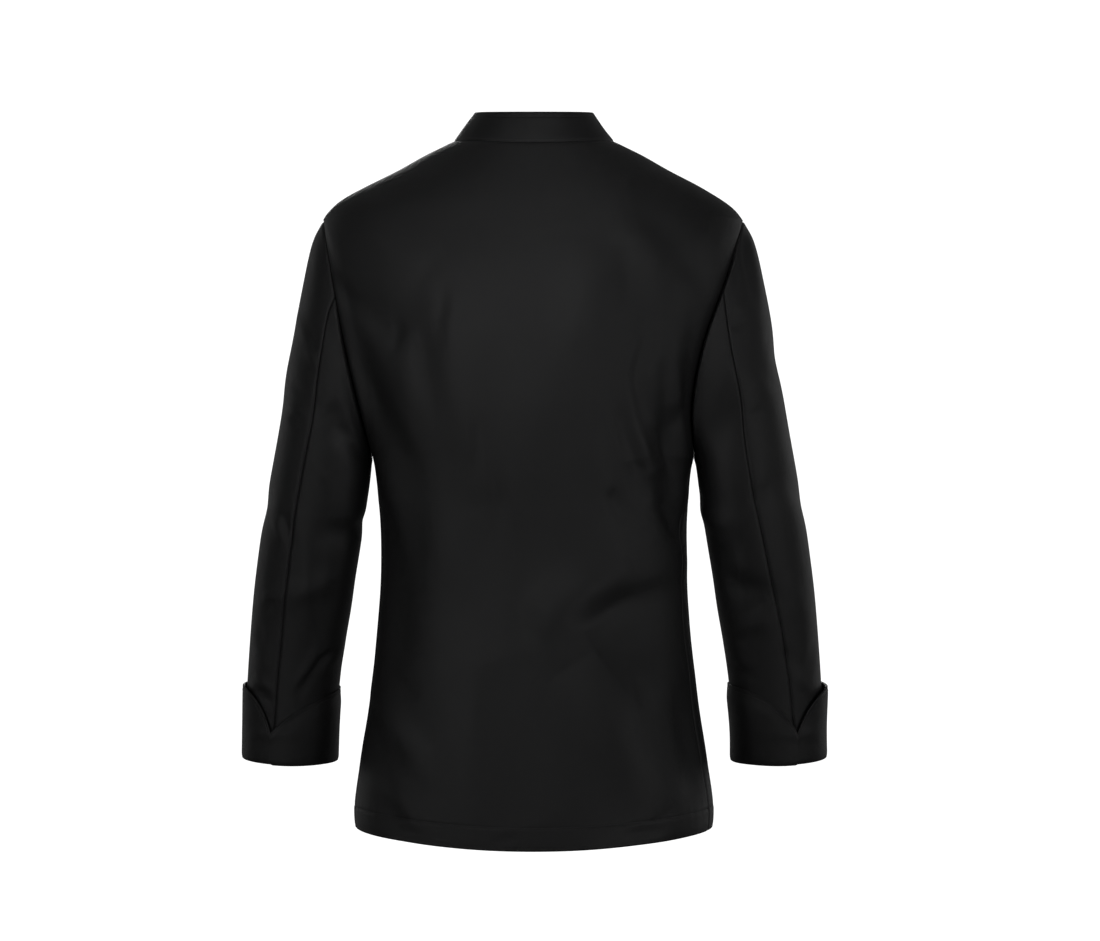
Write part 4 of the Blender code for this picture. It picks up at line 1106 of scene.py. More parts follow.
@dataclass(frozen=True)
class TwillFinish:
    """Black cotton twill: fine diagonal ribs with painted shade in their grooves, soft nap and faintly
    uneven dye.
    """

    name: str
    dark: Triple = (0.0040, 0.0040, 0.0043)
    light: Triple = (0.0080, 0.0080, 0.0084)
    roughness: float = 0.52
    pressed: float = 0.05
    nap: float = 0.08
    specular: float = 0.30
    rib_pitch: float = 0.00055
    rib_height: float = 0.00009
    rib_turn: float = 27.0
    crumple_height: float = 0.0006
    yarn_scale: Triple = (900.0, 260.0, 1.0)
    patch_scale: Triple = (7.0, 5.0, 1.0)
    crumple_scale: Triple = (24.0, 15.0, 1.0)
    groove_shade_share: float = 0.35
    yarn_share: float = 0.45
    dye_share: float = 0.30
    yarn_relief: float = 0.5
    weave_strength: float = 0.6
    crumple_strength: float = 0.5

    def material(self) -> Material:
        """Make the material from the cloth's own coordinates, in metres."""
        material, tree, shader = new_material(self.name)
        shader.inputs["Specular IOR Level"].default_value = self.specular
        cloth = tree.node("UVMap")
        cloth.uv_map = "cloth"
        ribs = self.ribs(tree, cloth)
        yarn = self.noise(tree, cloth, self.yarn_scale, 3.0)
        patches = self.noise(tree, cloth, self.patch_scale, 2.0)
        self.colour(tree, shader, ribs, yarn, patches)
        self.gloss(tree, shader, patches, yarn)
        self.relief(tree, shader, cloth, ribs, yarn)
        return material

    def ribs(self, tree: ShaderTree, cloth: Node) -> Socket:
        """Diagonal ribs of the twill, 0 in the grooves and 1 on the ribs."""
        bands_in_turn = 20.0
        turned = tree.node("Mapping")
        turned.inputs["Rotation"].default_value = (0.0, 0.0, math.radians(self.rib_turn))
        scale = 1.0 / (self.rib_pitch * bands_in_turn)
        turned.inputs["Scale"].default_value = (scale, scale, 1.0)
        tree.link(cloth.outputs["UV"], turned.inputs["Vector"])
        wave = tree.node("TexWave")
        wave.wave_type = "BANDS"
        wave.bands_direction = "X"
        wave.inputs["Scale"].default_value = 2.0 * math.pi
        wave.inputs["Distortion"].default_value = 0.6
        wave.inputs["Detail"].default_value = 1.0
        tree.link(turned.outputs["Vector"], wave.inputs["Vector"])
        return wave.outputs["Fac"]

    def noise(self, tree: ShaderTree, cloth: Node, scale: Triple, detail: float) -> Socket:
        """Noise stretched along the cloth's own directions."""
        stretched = tree.node("Mapping")
        stretched.inputs["Scale"].default_value = scale
        tree.link(cloth.outputs["UV"], stretched.inputs["Vector"])
        noise = tree.node("TexNoise")
        noise.inputs["Scale"].default_value = 1.0
        noise.inputs["Detail"].default_value = detail
        tree.link(stretched.outputs["Vector"], noise.inputs["Vector"])
        return noise.outputs["Fac"]

    def colour(self, tree: ShaderTree, shader: Node, ribs: Socket, yarn: Socket, patches: Socket) -> None:
        """Colour between dark and light, darker in the ribs' grooves as painted shade, with uneven yarn and
        dye.
        """
        dye = tree.weighted(patches, self.dye_share)
        uneven = tree.weighted(yarn, self.yarn_share, dye)
        # Painted shade: the ribs' grooves get the darker colour, on top of the yarn's and dye's own uneven
        # tone.
        groove_shade_and_tone = tree.weighted(ribs, self.groove_shade_share, uneven)
        tree.link(tree.mixed(groove_shade_and_tone, self.dark, self.light), shader.inputs["Base Color"])

    def gloss(self, tree: ShaderTree, shader: Node, patches: Socket, yarn: Socket) -> None:
        """Roughness, a little lower where the cloth is pressed flat."""
        usual = (0.6, 1.4)
        both = tree.node("Math")
        both.operation = "ADD"
        tree.link(patches, both.inputs[0])
        tree.link(yarn, both.inputs[1])
        ends = (self.roughness - self.pressed, self.roughness + self.nap)
        tree.link(tree.ranged(both.outputs[0], usual, ends), shader.inputs["Roughness"])

    def relief(self, tree: ShaderTree, shader: Node, cloth: Node, ribs: Socket, yarn: Socket) -> None:
        """Bumps of the ribs and yarn over the cloth's slight crumple."""
        crumple = self.noise(tree, cloth, self.crumple_scale, 3.0)
        broad = tree.bumped(crumple, self.crumple_strength, self.crumple_height)
        threads = tree.weighted(yarn, self.yarn_relief, ribs)
        fine = tree.bumped(threads, self.weave_strength, self.rib_height)
        tree.link(broad.outputs["Normal"], fine.inputs["Normal"])
        tree.link(fine.outputs["Normal"], shader.inputs["Normal"])


@dataclass(frozen=True)
class PlainFinish:
    """Finish with a little mottle: thread, buttons, floor."""

    name: str
    dark: Triple
    light: Triple
    roughness: float
    specular: float
    mottle_scale: float
    relief: float
    coat: float = 0.0
    coat_roughness: float = 0.25
    glow: float = 0.0
    rim_glow: float = 0.0
    rim: float = 0.0
    rim_ease: Pair = (0.15, 0.9)

    def material(self) -> Material:
        """Make the material from the piece's own coordinates."""
        material, tree, shader = new_material(self.name)
        shader.inputs["Roughness"].default_value = self.roughness
        shader.inputs["Specular IOR Level"].default_value = self.specular
        shader.inputs["Coat Weight"].default_value = self.coat
        shader.inputs["Coat Roughness"].default_value = self.coat_roughness
        shader.inputs["Emission Strength"].default_value = self.glow
        place = tree.node("TexCoord")
        noise = tree.node("TexNoise")
        noise.inputs["Scale"].default_value = self.mottle_scale
        noise.inputs["Detail"].default_value = 4.0
        tree.link(place.outputs["Object"], noise.inputs["Vector"])
        mottle = noise.outputs["Fac"]
        tree.link(tree.mixed(mottle, self.dark, self.light), shader.inputs["Base Color"])
        bump = tree.bumped(mottle, 0.5, self.relief)
        tree.link(bump.outputs["Normal"], shader.inputs["Normal"])
        if self.rim:
            self.brighten_rim(tree, place, shader)
        return material

    def brighten_rim(self, tree: ShaderTree, place: Node, shader: Node) -> None:
        """Let the glow grow towards the rim, so that the piece ends in the white behind it."""
        distance = tree.node("VectorMath")
        distance.operation = "LENGTH"
        tree.link(place.outputs["Object"], distance.inputs[0])
        reach = (self.rim * self.rim_ease[0], self.rim * self.rim_ease[1])
        ends = (self.glow, self.rim_glow)
        grown = tree.ranged(distance.outputs["Value"], reach, ends, "SMOOTHSTEP")
        tree.link(grown, shader.inputs["Emission Strength"])


THREAD = PlainFinish(
    "black_thread",
    dark=(0.010, 0.010, 0.011),
    light=(0.022, 0.022, 0.023),
    roughness=0.5,
    specular=0.35,
    mottle_scale=1800.0,
    relief=0.00005,
)
BUTTON = PlainFinish(
    "black_button",
    dark=(0.006, 0.006, 0.007),
    light=(0.011, 0.011, 0.012),
    roughness=0.36,
    specular=0.5,
    mottle_scale=300.0,
    relief=0.00002,
    coat=0.2,
)
FLOOR = PlainFinish(
    "pale_floor",
    dark=(0.84, 0.84, 0.84),
    light=(0.88, 0.88, 0.88),
    roughness=0.9,
    specular=0.1,
    mottle_scale=3.0,
    relief=0.0004,
    glow=0.55,
    rim_glow=1.15,
    rim=2.3,
)


@dataclass
class BodyPanels:
    """Back and both fronts: cut panels with side, shoulder and armhole seams, and a double-breasted lap."""

    form: BodyForm = BodyForm()
    wall: float = 0.0016
    half_gap: float = 0.00015
    layer_step: float = 0.0026
    seam_depth: float = 0.0009
    seam_half_width: float = 0.0022
    hem_allowance: float = 0.024
    hem_groove: Pair = (0.0003, 0.0016)
    edge_stitch_in: float = 0.006
    stitch_groove: Pair = (0.0002, 0.0012)
    rows_low: int = 104
    rows_arm: int = 72
    rows_high: int = 26
    back_columns: int = 132
    front_columns: int = 84
    collar_end: float = 1.984
    row_reach: float = 0.012
    crevice_half_width: float = 0.0034
    right_crevice_half_width: float = 0.0075
    edge_power: int = 8
    hem_step: float = 0.0022
    neck_step: float = 0.012
    back_edge_step: float = 0.0019
    front_edge_step: float = 0.0030
    back_end: float = 1.05
    back_ease: float = 0.15
    hem_runs: list[StitchRun] = field(default_factory=list)

    def side_rows(self, side: Side) -> tuple[Grid, Grid, Grid]:
        """Side edge of the back, from the hem over the armhole to the neck.

        Args:
            side: Side of the body.

        Returns:
            Height and place of each row, and whether it is on the armhole.
        """
        form = self.form
        below = form.underarm - form.hem_side
        share = graded(self.rows_low, (0.0, self.hem_allowance / below), self.hem_step)
        low = form.hem_side + below * share
        ease = smooth_step((low - form.underarm + form.side_seam_ease) / form.side_seam_ease)
        low_place = form.side_seam(side) + (1.0 - form.side_seam(side)) * ease
        angle = np.linspace(math.pi, 0.0, self.rows_arm + 1)[1:-1]
        middle, reach = form.armhole_span()
        arm = middle + reach * np.cos(angle)
        arm_place = form.place_at_distance(side, form.armhole_line(side, arm) - self.half_gap, arm)
        high_share = graded(self.rows_high, (1.0,), self.neck_step)
        high = form.shoulder_tip + (form.neck_side - form.shoulder_tip) * high_share
        heights = np.concatenate([low, arm, high])
        places = np.concatenate([low_place, arm_place, np.ones(len(high))])
        on_armhole = np.zeros(len(heights), bool)
        on_armhole[len(low) - 1 : len(low) + len(arm) + 1] = True
        return heights, places, on_armhole

    def lift(self, place: Grid, height: Grid) -> Grid:
        """Height of the folds and creases, fading to nothing at the armholes and the neck."""
        form = self.form
        place = np.mod(place + 2.0, 4.0) - 2.0
        fade = smooth_step(form.armhole_clearance(place, height) / form.fold_fade)
        near_neck = smooth_step((form.neck_height(place) - height) / form.fold_fade)
        scale = (form.mean_quarter, 1.0)
        broad = fold_height(BODY_FOLDS, place, height, scale)
        for turn in (-4.0, 0.0, 4.0):
            broad = broad + fold_height(FRONT_FOLDS, place + turn, height, scale)
        base = form.point(place, height)
        on_back = smooth_step((self.back_end - np.abs(place)) / self.back_ease)
        fine = on_back * crease_height(BACK_CREASES, base[..., 0], base[..., 2])
        near_armhole = smooth_step(form.armhole_clearance(place, height) / (form.fold_fade * 0.5))
        return near_neck * (fade * broad + near_armhole * fine)

    def neck_mitre(self, place: Grid, height: Grid, collar: "Collar") -> Grid:
        """Direction of the wall's edge where the collar meets the body."""
        step = 0.01
        form = self.form
        after = form.point(place + step, form.neck_height(place + step))
        before = form.point(place - step, form.neck_height(place - step))
        collar_normal = unit(np.cross(collar.direction(place, height), after - before))
        return unit(form.normal(place, height) + collar_normal)

    def sheet(
        self, place: Grid, height: Grid, edges: list[tuple[Grid, Grid]], sunk: Grid, rounded: dict[str, bool]
    ) -> Sheet:
        """Wall of one panel.

        Args:
            place: Places of the panel's points round the body.
            height: Their heights.
            edges: For some edge points, the direction of the wall's thickness.
            sunk: How far each point is drawn in by seams and stitches.
            rounded: Which edges are turned and round.

        Returns:
            The panel's sheet.
        """
        base = self.form.point(place, height)
        normal = self.form.normal(place, height)
        outer = base + normal * (self.lift(place, height) - sunk)[..., None]
        thickness = normal.copy()
        for chosen, direction in edges:
            thickness[chosen] = direction
        cloth = np.stack([place * self.form.mean_quarter, height], -1)
        return Sheet(outer, outer - thickness * self.wall, cloth, **rounded)

    def hem_depth(self, place: Grid, height: Grid) -> Grid:
        """Groove of the hem's stitches and the slight pucker below it."""
        pucker_height, pucker_reach = 0.00022, 0.012
        short_wave, long_wave = 210.0, 87.0
        swell, fold_ease, stitch_ease = 0.00035, 0.006, 0.004
        above = height - self.form.hem_height(place) - self.hem_allowance
        groove_depth = groove(above, *self.hem_groove)
        pucker = pucker_height * np.sin(place * short_wave) * np.sin(place * long_wave + 1.0)
        band = smooth_step((self.hem_allowance + above) / fold_ease) * (above < 0)
        band = band * smooth_step(-above / stitch_ease)
        return groove_depth - swell * band + pucker * np.exp(-((above / pucker_reach) ** 2))

    def side_depth(self, base: Grid, columns: Sequence[int]) -> Grid:
        """Groove along the given edge columns, 0 for the first and -1 for the last."""
        run = run_lengths(base, 1)
        total = np.zeros(run.shape)
        for column in columns:
            distance = run if column == 0 else run[:, -1:] - run
            total = total + groove(distance, self.seam_depth, self.seam_half_width)
        return total

    def crevice_depth(self, place: Grid, height: Grid) -> Grid:
        """How far the back turns in at the armholes, where the cloth folds over the seam."""
        form = self.form
        run = run_lengths(form.point(place, height), 1)
        left = groove(run, 1.0, self.crevice_half_width) * form.crevice(Side.LEFT, height)
        right = groove(run[:, -1:] - run, 1.0, self.right_crevice_half_width)
        return left + right * form.crevice(Side.RIGHT, height)

    def neck_depth(self, place: Grid, height: Grid) -> Grid:
        """Groove along the collar's seam."""
        below = self.form.neck_height(np.clip(place, -2.0, 2.0)) - height
        return groove(below, self.seam_depth * 0.6, self.seam_half_width)

    def build_back(self, collar: "Collar", finish: Material) -> None:
        """Back panel, shoulder to hem.

        Args:
            collar: Collar that meets the neck.
            finish: Material of the body's cloth.
        """
        form = self.form
        heights, left, on_armhole = self.side_rows(Side.LEFT)
        _, right, _ = self.side_rows(Side.RIGHT)
        share = (heights - form.hem_side) / (form.neck_side - form.hem_side)
        across = 1.0 - 2.0 * graded(self.back_columns, (0.0, 1.0), self.back_edge_step)
        gap = np.where(on_armhole, 0.0, self.half_gap / form.mean_quarter)
        left, right = left - gap, right - gap
        even_left, even_right = (evened(edge, heights, self.row_reach) for edge in (left, right))
        near_edge = across[None] ** self.edge_power
        to_left = across[None] * even_left[:, None] + near_edge * (left - even_left)[:, None]
        to_right = across[None] * even_right[:, None] - near_edge * (right - even_right)[:, None]
        place = np.where(across[None] > 0, to_left, to_right)
        bottom = form.hem_height(place)
        top = form.neck_height(across)[None] - self.half_gap
        height = bottom + (top - bottom) * share[:, None]
        height[:, 0] = heights
        height[:, -1] = heights
        height[-1] = top
        height[0] = bottom[0]
        edges = []
        for column, side in ((0, Side.LEFT), (-1, Side.RIGHT)):
            chosen = np.zeros(place.shape, bool)
            chosen[on_armhole, column] = True
            direction = form.armhole_normal(side, heights[on_armhole])
            edges.append((chosen, direction * np.array([side.sign, 1.0, 1.0])))
        top_row = np.zeros(place.shape, bool)
        top_row[-1] = True
        edges.append((top_row, self.neck_mitre(place[-1], height[-1], collar)))
        sunk = self.side_depth(form.point(place, height), (0, -1)) + self.hem_depth(place, height)
        sunk = sunk + self.neck_depth(place, height)
        sheet = self.sheet(place, height, edges, sunk, {"round_first_row": True})
        sheet.draw_in(self.crevice_depth(place, height))
        piece = add_piece(sheet.mesh("back_panel"), ["back"], finish)
        self.hem_runs.append(self.hem_run(place[0], 0.0))

    def build_front(self, side: Side, collar: "Collar", finish: Material) -> None:
        """One front panel, from its side seam past the middle to the edge of the overlap.

        Args:
            side: Side of the body.
            collar: Collar that meets the neck.
            finish: Material of the body's cloth.
        """
        form = self.form
        heights, places, on_armhole = self.side_rows(side)
        share = (heights - form.hem_side) / (form.neck_side - form.hem_side)
        start = np.where(on_armhole, 2.0 - places, places + self.half_gap / form.mean_quarter)
        corner = -form.neck_front_drop - form.flap_drop
        edge_height = form.hem_side - form.hem_dip + (corner - form.hem_side + form.hem_dip) * share
        end = 2.0 + form.place_at_distance(side.other, form.lap_width(edge_height), edge_height)
        across = graded(self.front_columns, (0.0, 1.0), self.front_edge_step)
        even = evened(start, heights, self.row_reach)
        place = even[:, None] + (end - even)[:, None] * across[None]
        place = place + (start - even)[:, None] * (1.0 - across[None]) ** self.edge_power
        past = np.clip((place[-1] - 2.0) / (end[-1] - 2.0), 0.0, 1.0)
        top = form.neck_height(np.minimum(place[-1], 2.0)) - form.flap_drop * past**2 - self.half_gap
        bottom = form.hem_height(place)
        height = bottom + (top[None] - bottom) * share[:, None]
        height[:, 0] = heights
        height[-1] = top
        mirror = np.array([side.sign, 1.0, 1.0])
        chosen = np.zeros(place.shape, bool)
        chosen[on_armhole, 0] = True
        direction = form.armhole_normal(side, heights[on_armhole]) * np.array([1.0, -1.0, 1.0])
        edges = [(chosen, direction * mirror)]
        top_row = np.zeros(place.shape, bool)
        top_row[-1] = place[-1] <= self.collar_end
        mitre = self.neck_mitre(place[-1][top_row[-1]], height[-1][top_row[-1]], collar)
        edges.append((top_row, mitre * mirror))
        sunk = self.side_depth(form.point(place, height), (0,)) + self.hem_depth(place, height)
        sunk = sunk + self.neck_depth(np.minimum(place, 2.0), height)
        run = run_lengths(form.point(place, height), 1)
        to_edge = run[:, -1:] - run
        sunk = sunk + groove(to_edge - self.edge_stitch_in, *self.stitch_groove)
        signed = place * side.sign
        if side is Side.RIGHT:
            sunk = sunk + self.layer_step * form.covered(form.point(signed, height)[..., 0], height)
        rounded = {"round_first_row": True, "round_last_column": True}
        sheet = self.sheet(signed, height, edges, sunk, rounded)
        data = sheet.mesh(f"front_panel_{side.value}")
        piece = add_piece(data, [f"front_{side.value}"], finish)
        self.hem_runs.append(self.hem_run(signed[0], self.layer_step if side is Side.RIGHT else 0.0))
        self.hem_runs.append(self.edge_run(sheet, to_edge))

    def hem_run(self, place: Grid, under: float) -> StitchRun:
        """Stitches along the hem of one panel."""
        form = self.form
        samples = 400
        fine = np.linspace(place[0], place[-1], samples)
        height = form.hem_height(fine) + self.hem_allowance
        depth = self.hem_depth(fine, height)
        if under:
            depth = depth + under * form.covered(form.point(fine, height)[..., 0], height)
        normal = form.normal(fine, height)
        points = form.point(fine, height) + normal * (self.lift(fine, height) - depth)[..., None]
        return StitchRun(points + normal * THREAD_LIFT, normal)

    def edge_run(self, sheet: Sheet, to_edge: Grid) -> StitchRun:
        """Stitches beside the edge of the overlap."""
        column = int(np.abs(to_edge[len(to_edge) // 2] - self.edge_stitch_in).argmin())
        normal = unit(sheet.outer[:, column] - sheet.inner[:, column])
        kept = slice(4, -2)
        return StitchRun(sheet.outer[kept, column] + normal[kept] * THREAD_LIFT, normal[kept])

    def build_stitching(self, finish: Material) -> None:
        """Thread of the hem and of both front edges."""
        add_piece(stitch_mesh("body_stitching", self.hem_runs), [], finish)


@dataclass
class Collar:
    """Stand collar on the neck seam, with rounded ends at the middle of the front."""

    form: BodyForm = BodyForm()
    wall: float = 0.0025
    half_gap: float = 0.00015
    rise: float = 0.033
    side_shorter: float = 0.002
    lean_back: float = 0.008
    lean_side: float = 0.023
    end: float = 1.984
    corner: float = 0.11
    corner_cut: float = 0.38
    columns: int = 260
    rows: int = 16
    stitch_in: float = 0.005
    end_step: float = 0.0012
    row_step: float = 0.02
    foot_groove: Pair = (0.0006, 0.0018)
    stitch_groove: Pair = (0.0003, 0.0011)
    long_wave: float = 0.0005
    short_wave: float = 0.0004
    neck_share: float = 0.36

    def direction(self, place: Grid, height: Grid) -> Grid:
        """Vector from the foot of the collar to its top edge."""
        sideways = np.sin(place * math.pi / 2) ** 2
        lean = self.lean_back + (self.lean_side - self.lean_back) * sideways
        rise = self.rise - self.side_shorter * sideways
        outward = unit(self.form.normal(place, height) * LEVEL)
        return -outward * lean[..., None] + UPWARD * rise[..., None]

    def build(self, panels: BodyPanels, finish: Material, thread: Material) -> None:
        """Collar and its top-stitching.

        Args:
            panels: Body panels that the collar stands on.
            finish: Material of the collar's cloth.
            thread: Material of the stitches.
        """
        form = self.form
        place = self.end - 2 * self.end * graded(self.columns, (0.0, 1.0), self.end_step)
        foot_height = form.neck_height(place) + self.half_gap
        foot = form.point(place, foot_height)
        up = self.direction(place, foot_height)
        round_off = smooth_step((np.abs(place) - self.end + self.corner) / self.corner) ** 2
        tall = 1 - self.corner_cut * round_off
        share = graded(self.rows, (0.0, 1.0 - self.stitch_in / self.rise), self.row_step, 3)
        outer = foot[None] + up[None] * (share[:, None] * tall[None])[..., None]
        normal = unit(np.cross(np.gradient(foot, axis=0), up))
        normal = normal * np.sign((normal * form.normal(place, foot_height)).sum(-1))[:, None]
        thickness = np.repeat(normal[None], len(share), axis=0)
        thickness[0] = panels.neck_mitre(place, foot_height, self)
        risen = share[:, None]
        high = risen * self.rise * tall[None]
        from_top = self.rise * tall[None] - high
        sunk = groove(high, *self.foot_groove) + groove(from_top - self.stitch_in, *self.stitch_groove)
        waves = self.long_wave * np.sin(place * 9.0 + 0.6) * np.sin(math.pi * risen) ** 2
        waves = waves + self.short_wave * np.sin(place * 23.0 + risen * 2.0) * risen * (1 - risen)
        outer = outer + normal[None] * (waves - sunk)[..., None]
        along = place * form.mean_quarter * self.neck_share
        cloth = np.stack([np.broadcast_to(along, high.shape), high], -1)
        inner = outer - thickness * self.wall
        sheet = Sheet(outer, inner, cloth, round_last_row=True, round_last_column=True)
        piece = add_piece(sheet.mesh("stand_collar"), ["collar"], finish)
        row = int(np.abs(share - 1.0 + self.stitch_in / self.rise).argmin())
        top_run, foot_run = slice(6, -6), slice(4, -4)
        line = outer[row, top_run] + normal[top_run] * THREAD_LIFT
        low = outer[1, foot_run] + normal[foot_run] * 2 * THREAD_LIFT + up[foot_run] * 0.05
        runs = [StitchRun(line, normal[top_run]), StitchRun(low, normal[foot_run])]
        add_piece(stitch_mesh("collar_stitching", runs), [], thread)


@dataclass
class Sleeve:
    """One two-piece sleeve: an upper and an under panel joined at the back and front seams."""

    side: Side
    wall: float = 0.0016
    half_gap: float = 0.00015
    seam_depth: float = 0.0013
    seam_half_width: float = 0.0019
    crevice_half_width: float = 0.0030
    rows: int = 190
    upper_columns: int = 64
    under_columns: int = 52
    head_step: float = 0.0018
    seam_step: float = 0.0055
    back_sharpness: float = 4.0

    @property
    def form(self) -> SleeveForm:
        """Smooth form of this sleeve."""
        return SleeveForm(self.side)

    def panel(self, start: Grid, end: Grid, ring: Grid, columns: int) -> Sheet:
        """One panel between two seams.

        Args:
            start: Angle of the first seam at each ring.
            end: Angle of the second seam at each ring.
            ring: Rings of the rows.
            columns: Even steps across the panel.

        Returns:
            The panel's sheet.
        """
        form = self.form
        pull = self.half_gap / form.value("half_depth", ring)
        across = graded(columns, (0.0, 1.0), self.seam_step)
        angle = (start + pull)[:, None] + (end - start - 2 * pull)[:, None] * across[None]
        rings = np.repeat(ring[:, None], len(across), axis=1)
        base, normal = form.point(angle, rings), form.normal(angle, rings)
        round_run, down_run = run_lengths(base, 1), run_lengths(base, 0)
        seams = (round_run, round_run[:, -1:] - round_run, down_run)
        sunk = sum(groove(run, self.seam_depth, self.seam_half_width) for run in seams)
        outer = base + normal * (form.fold_height(angle, rings) - sunk)[..., None]
        thickness = normal.copy()
        facing = np.where(np.sin(angle[0]) >= 0, 1.0, -1.0)
        turned = np.stack([np.full(len(across), self.side.sign), facing, np.ones(len(across))], axis=-1)
        thickness[0] = form.body.armhole_normal(self.side, form.first_height(angle[0])) * turned
        cloth = np.stack([angle * form.radius, -rings * form.ring_pitch], -1)
        sheet = Sheet(outer, outer - thickness * self.wall, cloth)
        at_back = smooth_step(np.sin(angle) * self.back_sharpness)
        crevice = form.body.crevice(self.side, form.first_height(angle)) * at_back
        sheet.draw_in(groove(down_run, 1.0, self.crevice_half_width) * crevice)
        return sheet

    def build(self, finish: Material) -> None:
        """Both panels of the sleeve."""
        form = self.form
        ring = form.end * graded(self.rows, (0.0,), self.head_step)
        back, front = form.back_seam(ring), np.full(len(ring), math.radians(form.front_seam))
        for part, start, end, columns, flat, area in (
            ("upper", front - 2 * math.pi, back, self.upper_columns, (0.25, 0.62), 0.102),
            ("under", back, front, self.under_columns, (0.22, 0.50), 0.056),
        ):
            sheet = self.panel(start, end, ring, columns)
            name = f"sleeve_{self.side.value}_{part}"
            piece = add_piece(sheet.mesh(f"{name}_panel"), [name], finish)


@dataclass
class Cuff:
    """Turned-back cuff round the end of one sleeve, with a pointed notch over the back seam."""

    side: Side
    wall: float = 0.0025
    clearance: float = 0.0007
    even_share: float = 0.12
    pressed_wall: float = 0.0006
    pressed_depth: float = 0.020
    columns: int = 220
    rows: int = 34
    stitch_in: float = 0.005
    notch_step: float = 0.0011
    edge_step: float = 0.008
    stitch_groove: Pair = (0.0001, 0.0012)
    fold_groove: Pair = (0.0007, 0.0022)
    side_sharpness: float = 2.5
    inner_swell: float = 0.6
    taper: float = 0.9

    @property
    def stand_off(self) -> float:
        """How far the upper edge stands off the sleeve on its outward side."""
        return 0.0018 if self.side is Side.LEFT else 0.0038

    def build(self, finish: Material, thread: Material) -> None:
        """Cuff and its top-stitching.

        Args:
            finish: Material of the cuff's cloth.
            thread: Material of the stitches.
        """
        form, shape = SleeveForm(self.side), CuffShape(self.side)
        share_round = graded(self.columns, (0.0, 1.0), self.notch_step, 6)[:-1]
        angle = math.radians(shape.notch_angle) + share_round * 2 * math.pi
        bottom, top = shape.bottom_edge(angle), shape.top_edge(angle)
        share = graded(self.rows, (0.0, 1.0), self.edge_step, 3)[:, None]
        height = bottom + (top - bottom) * share
        angles = np.repeat(angle[None], len(share), axis=0)
        ring = form.ring_at_height(height)
        level = unit(form.normal(angles, ring) * LEVEL)
        outward = np.cos(angles)
        open_side = self.even_share + (1 - self.even_share) * outward.clip(0.0, 1.0)
        stand = self.clearance + self.stand_off * open_side * share
        inner = form.point(angles, ring) + level * stand[..., None]
        swell = self.swell(angles, height, top)
        from_top, from_bottom = top - height, height - bottom
        sunk = groove(from_top - self.stitch_in, *self.stitch_groove) - swell
        sunk = sunk + groove(from_bottom, *self.fold_groove)
        pressed = smooth_step(0.5 - outward * self.side_sharpness)
        pressed = pressed * smooth_step(1.0 - from_top / self.pressed_depth)
        sunk = sunk + (self.wall - self.pressed_wall) * pressed
        outer = inner + level * (self.wall - sunk)[..., None]
        inner = inner + level * np.maximum(swell, 0.0)[..., None] * self.inner_swell
        cloth = np.stack([angles * form.radius * self.taper, height], -1)
        sheet = Sheet(outer, inner, cloth, True, round_first_row=True, round_last_row=True)
        name = f"cuff_{self.side.value}"
        piece = add_piece(sheet.mesh(f"{name}_band"), [name], finish)
        self.stitch(outer, level, top, thread)

    def swell(self, angle: Grid, height: Grid, top: Grid) -> Grid:
        """Soft waves of the doubled cloth, stronger beside the notch."""
        wave_height, band_height = 0.0005, 0.0010
        notch_reach, band_middle, band_reach, top_ease = 34.0, -0.653, 0.007, 0.008
        phase = 0.4 if self.side is Side.LEFT else 1.7
        away = CuffShape(self.side).away(angle)
        beside = np.exp(-((away / notch_reach) ** 2))
        waves = wave_height * np.sin(np.radians(away) * 3.0 + phase)
        waves = waves * np.sin((height + 0.6) * 70.0 + away * 0.02)
        band = band_height * beside * np.exp(-(((height - band_middle) / band_reach) ** 2))
        return (waves + band) * smooth_step((top - height) / top_ease)

    def stitch(self, outer: Grid, level: Grid, top: Grid, thread: Material) -> None:
        """Top-stitching along the cuff's upper edge."""
        points, normals = [], []
        for column, edge in enumerate(top):
            row = int(np.abs(outer[:, column, 2] - edge + self.stitch_in).argmin())
            points.append(outer[row, column] + level[row, column] * THREAD_LIFT)
            normals.append(level[row, column])
        kept = slice(2, -1)
        run = StitchRun(np.array(points[kept]), np.array(normals[kept]))
        add_piece(stitch_mesh(f"cuff_{self.side.value}_stitching", [run]), [], thread)


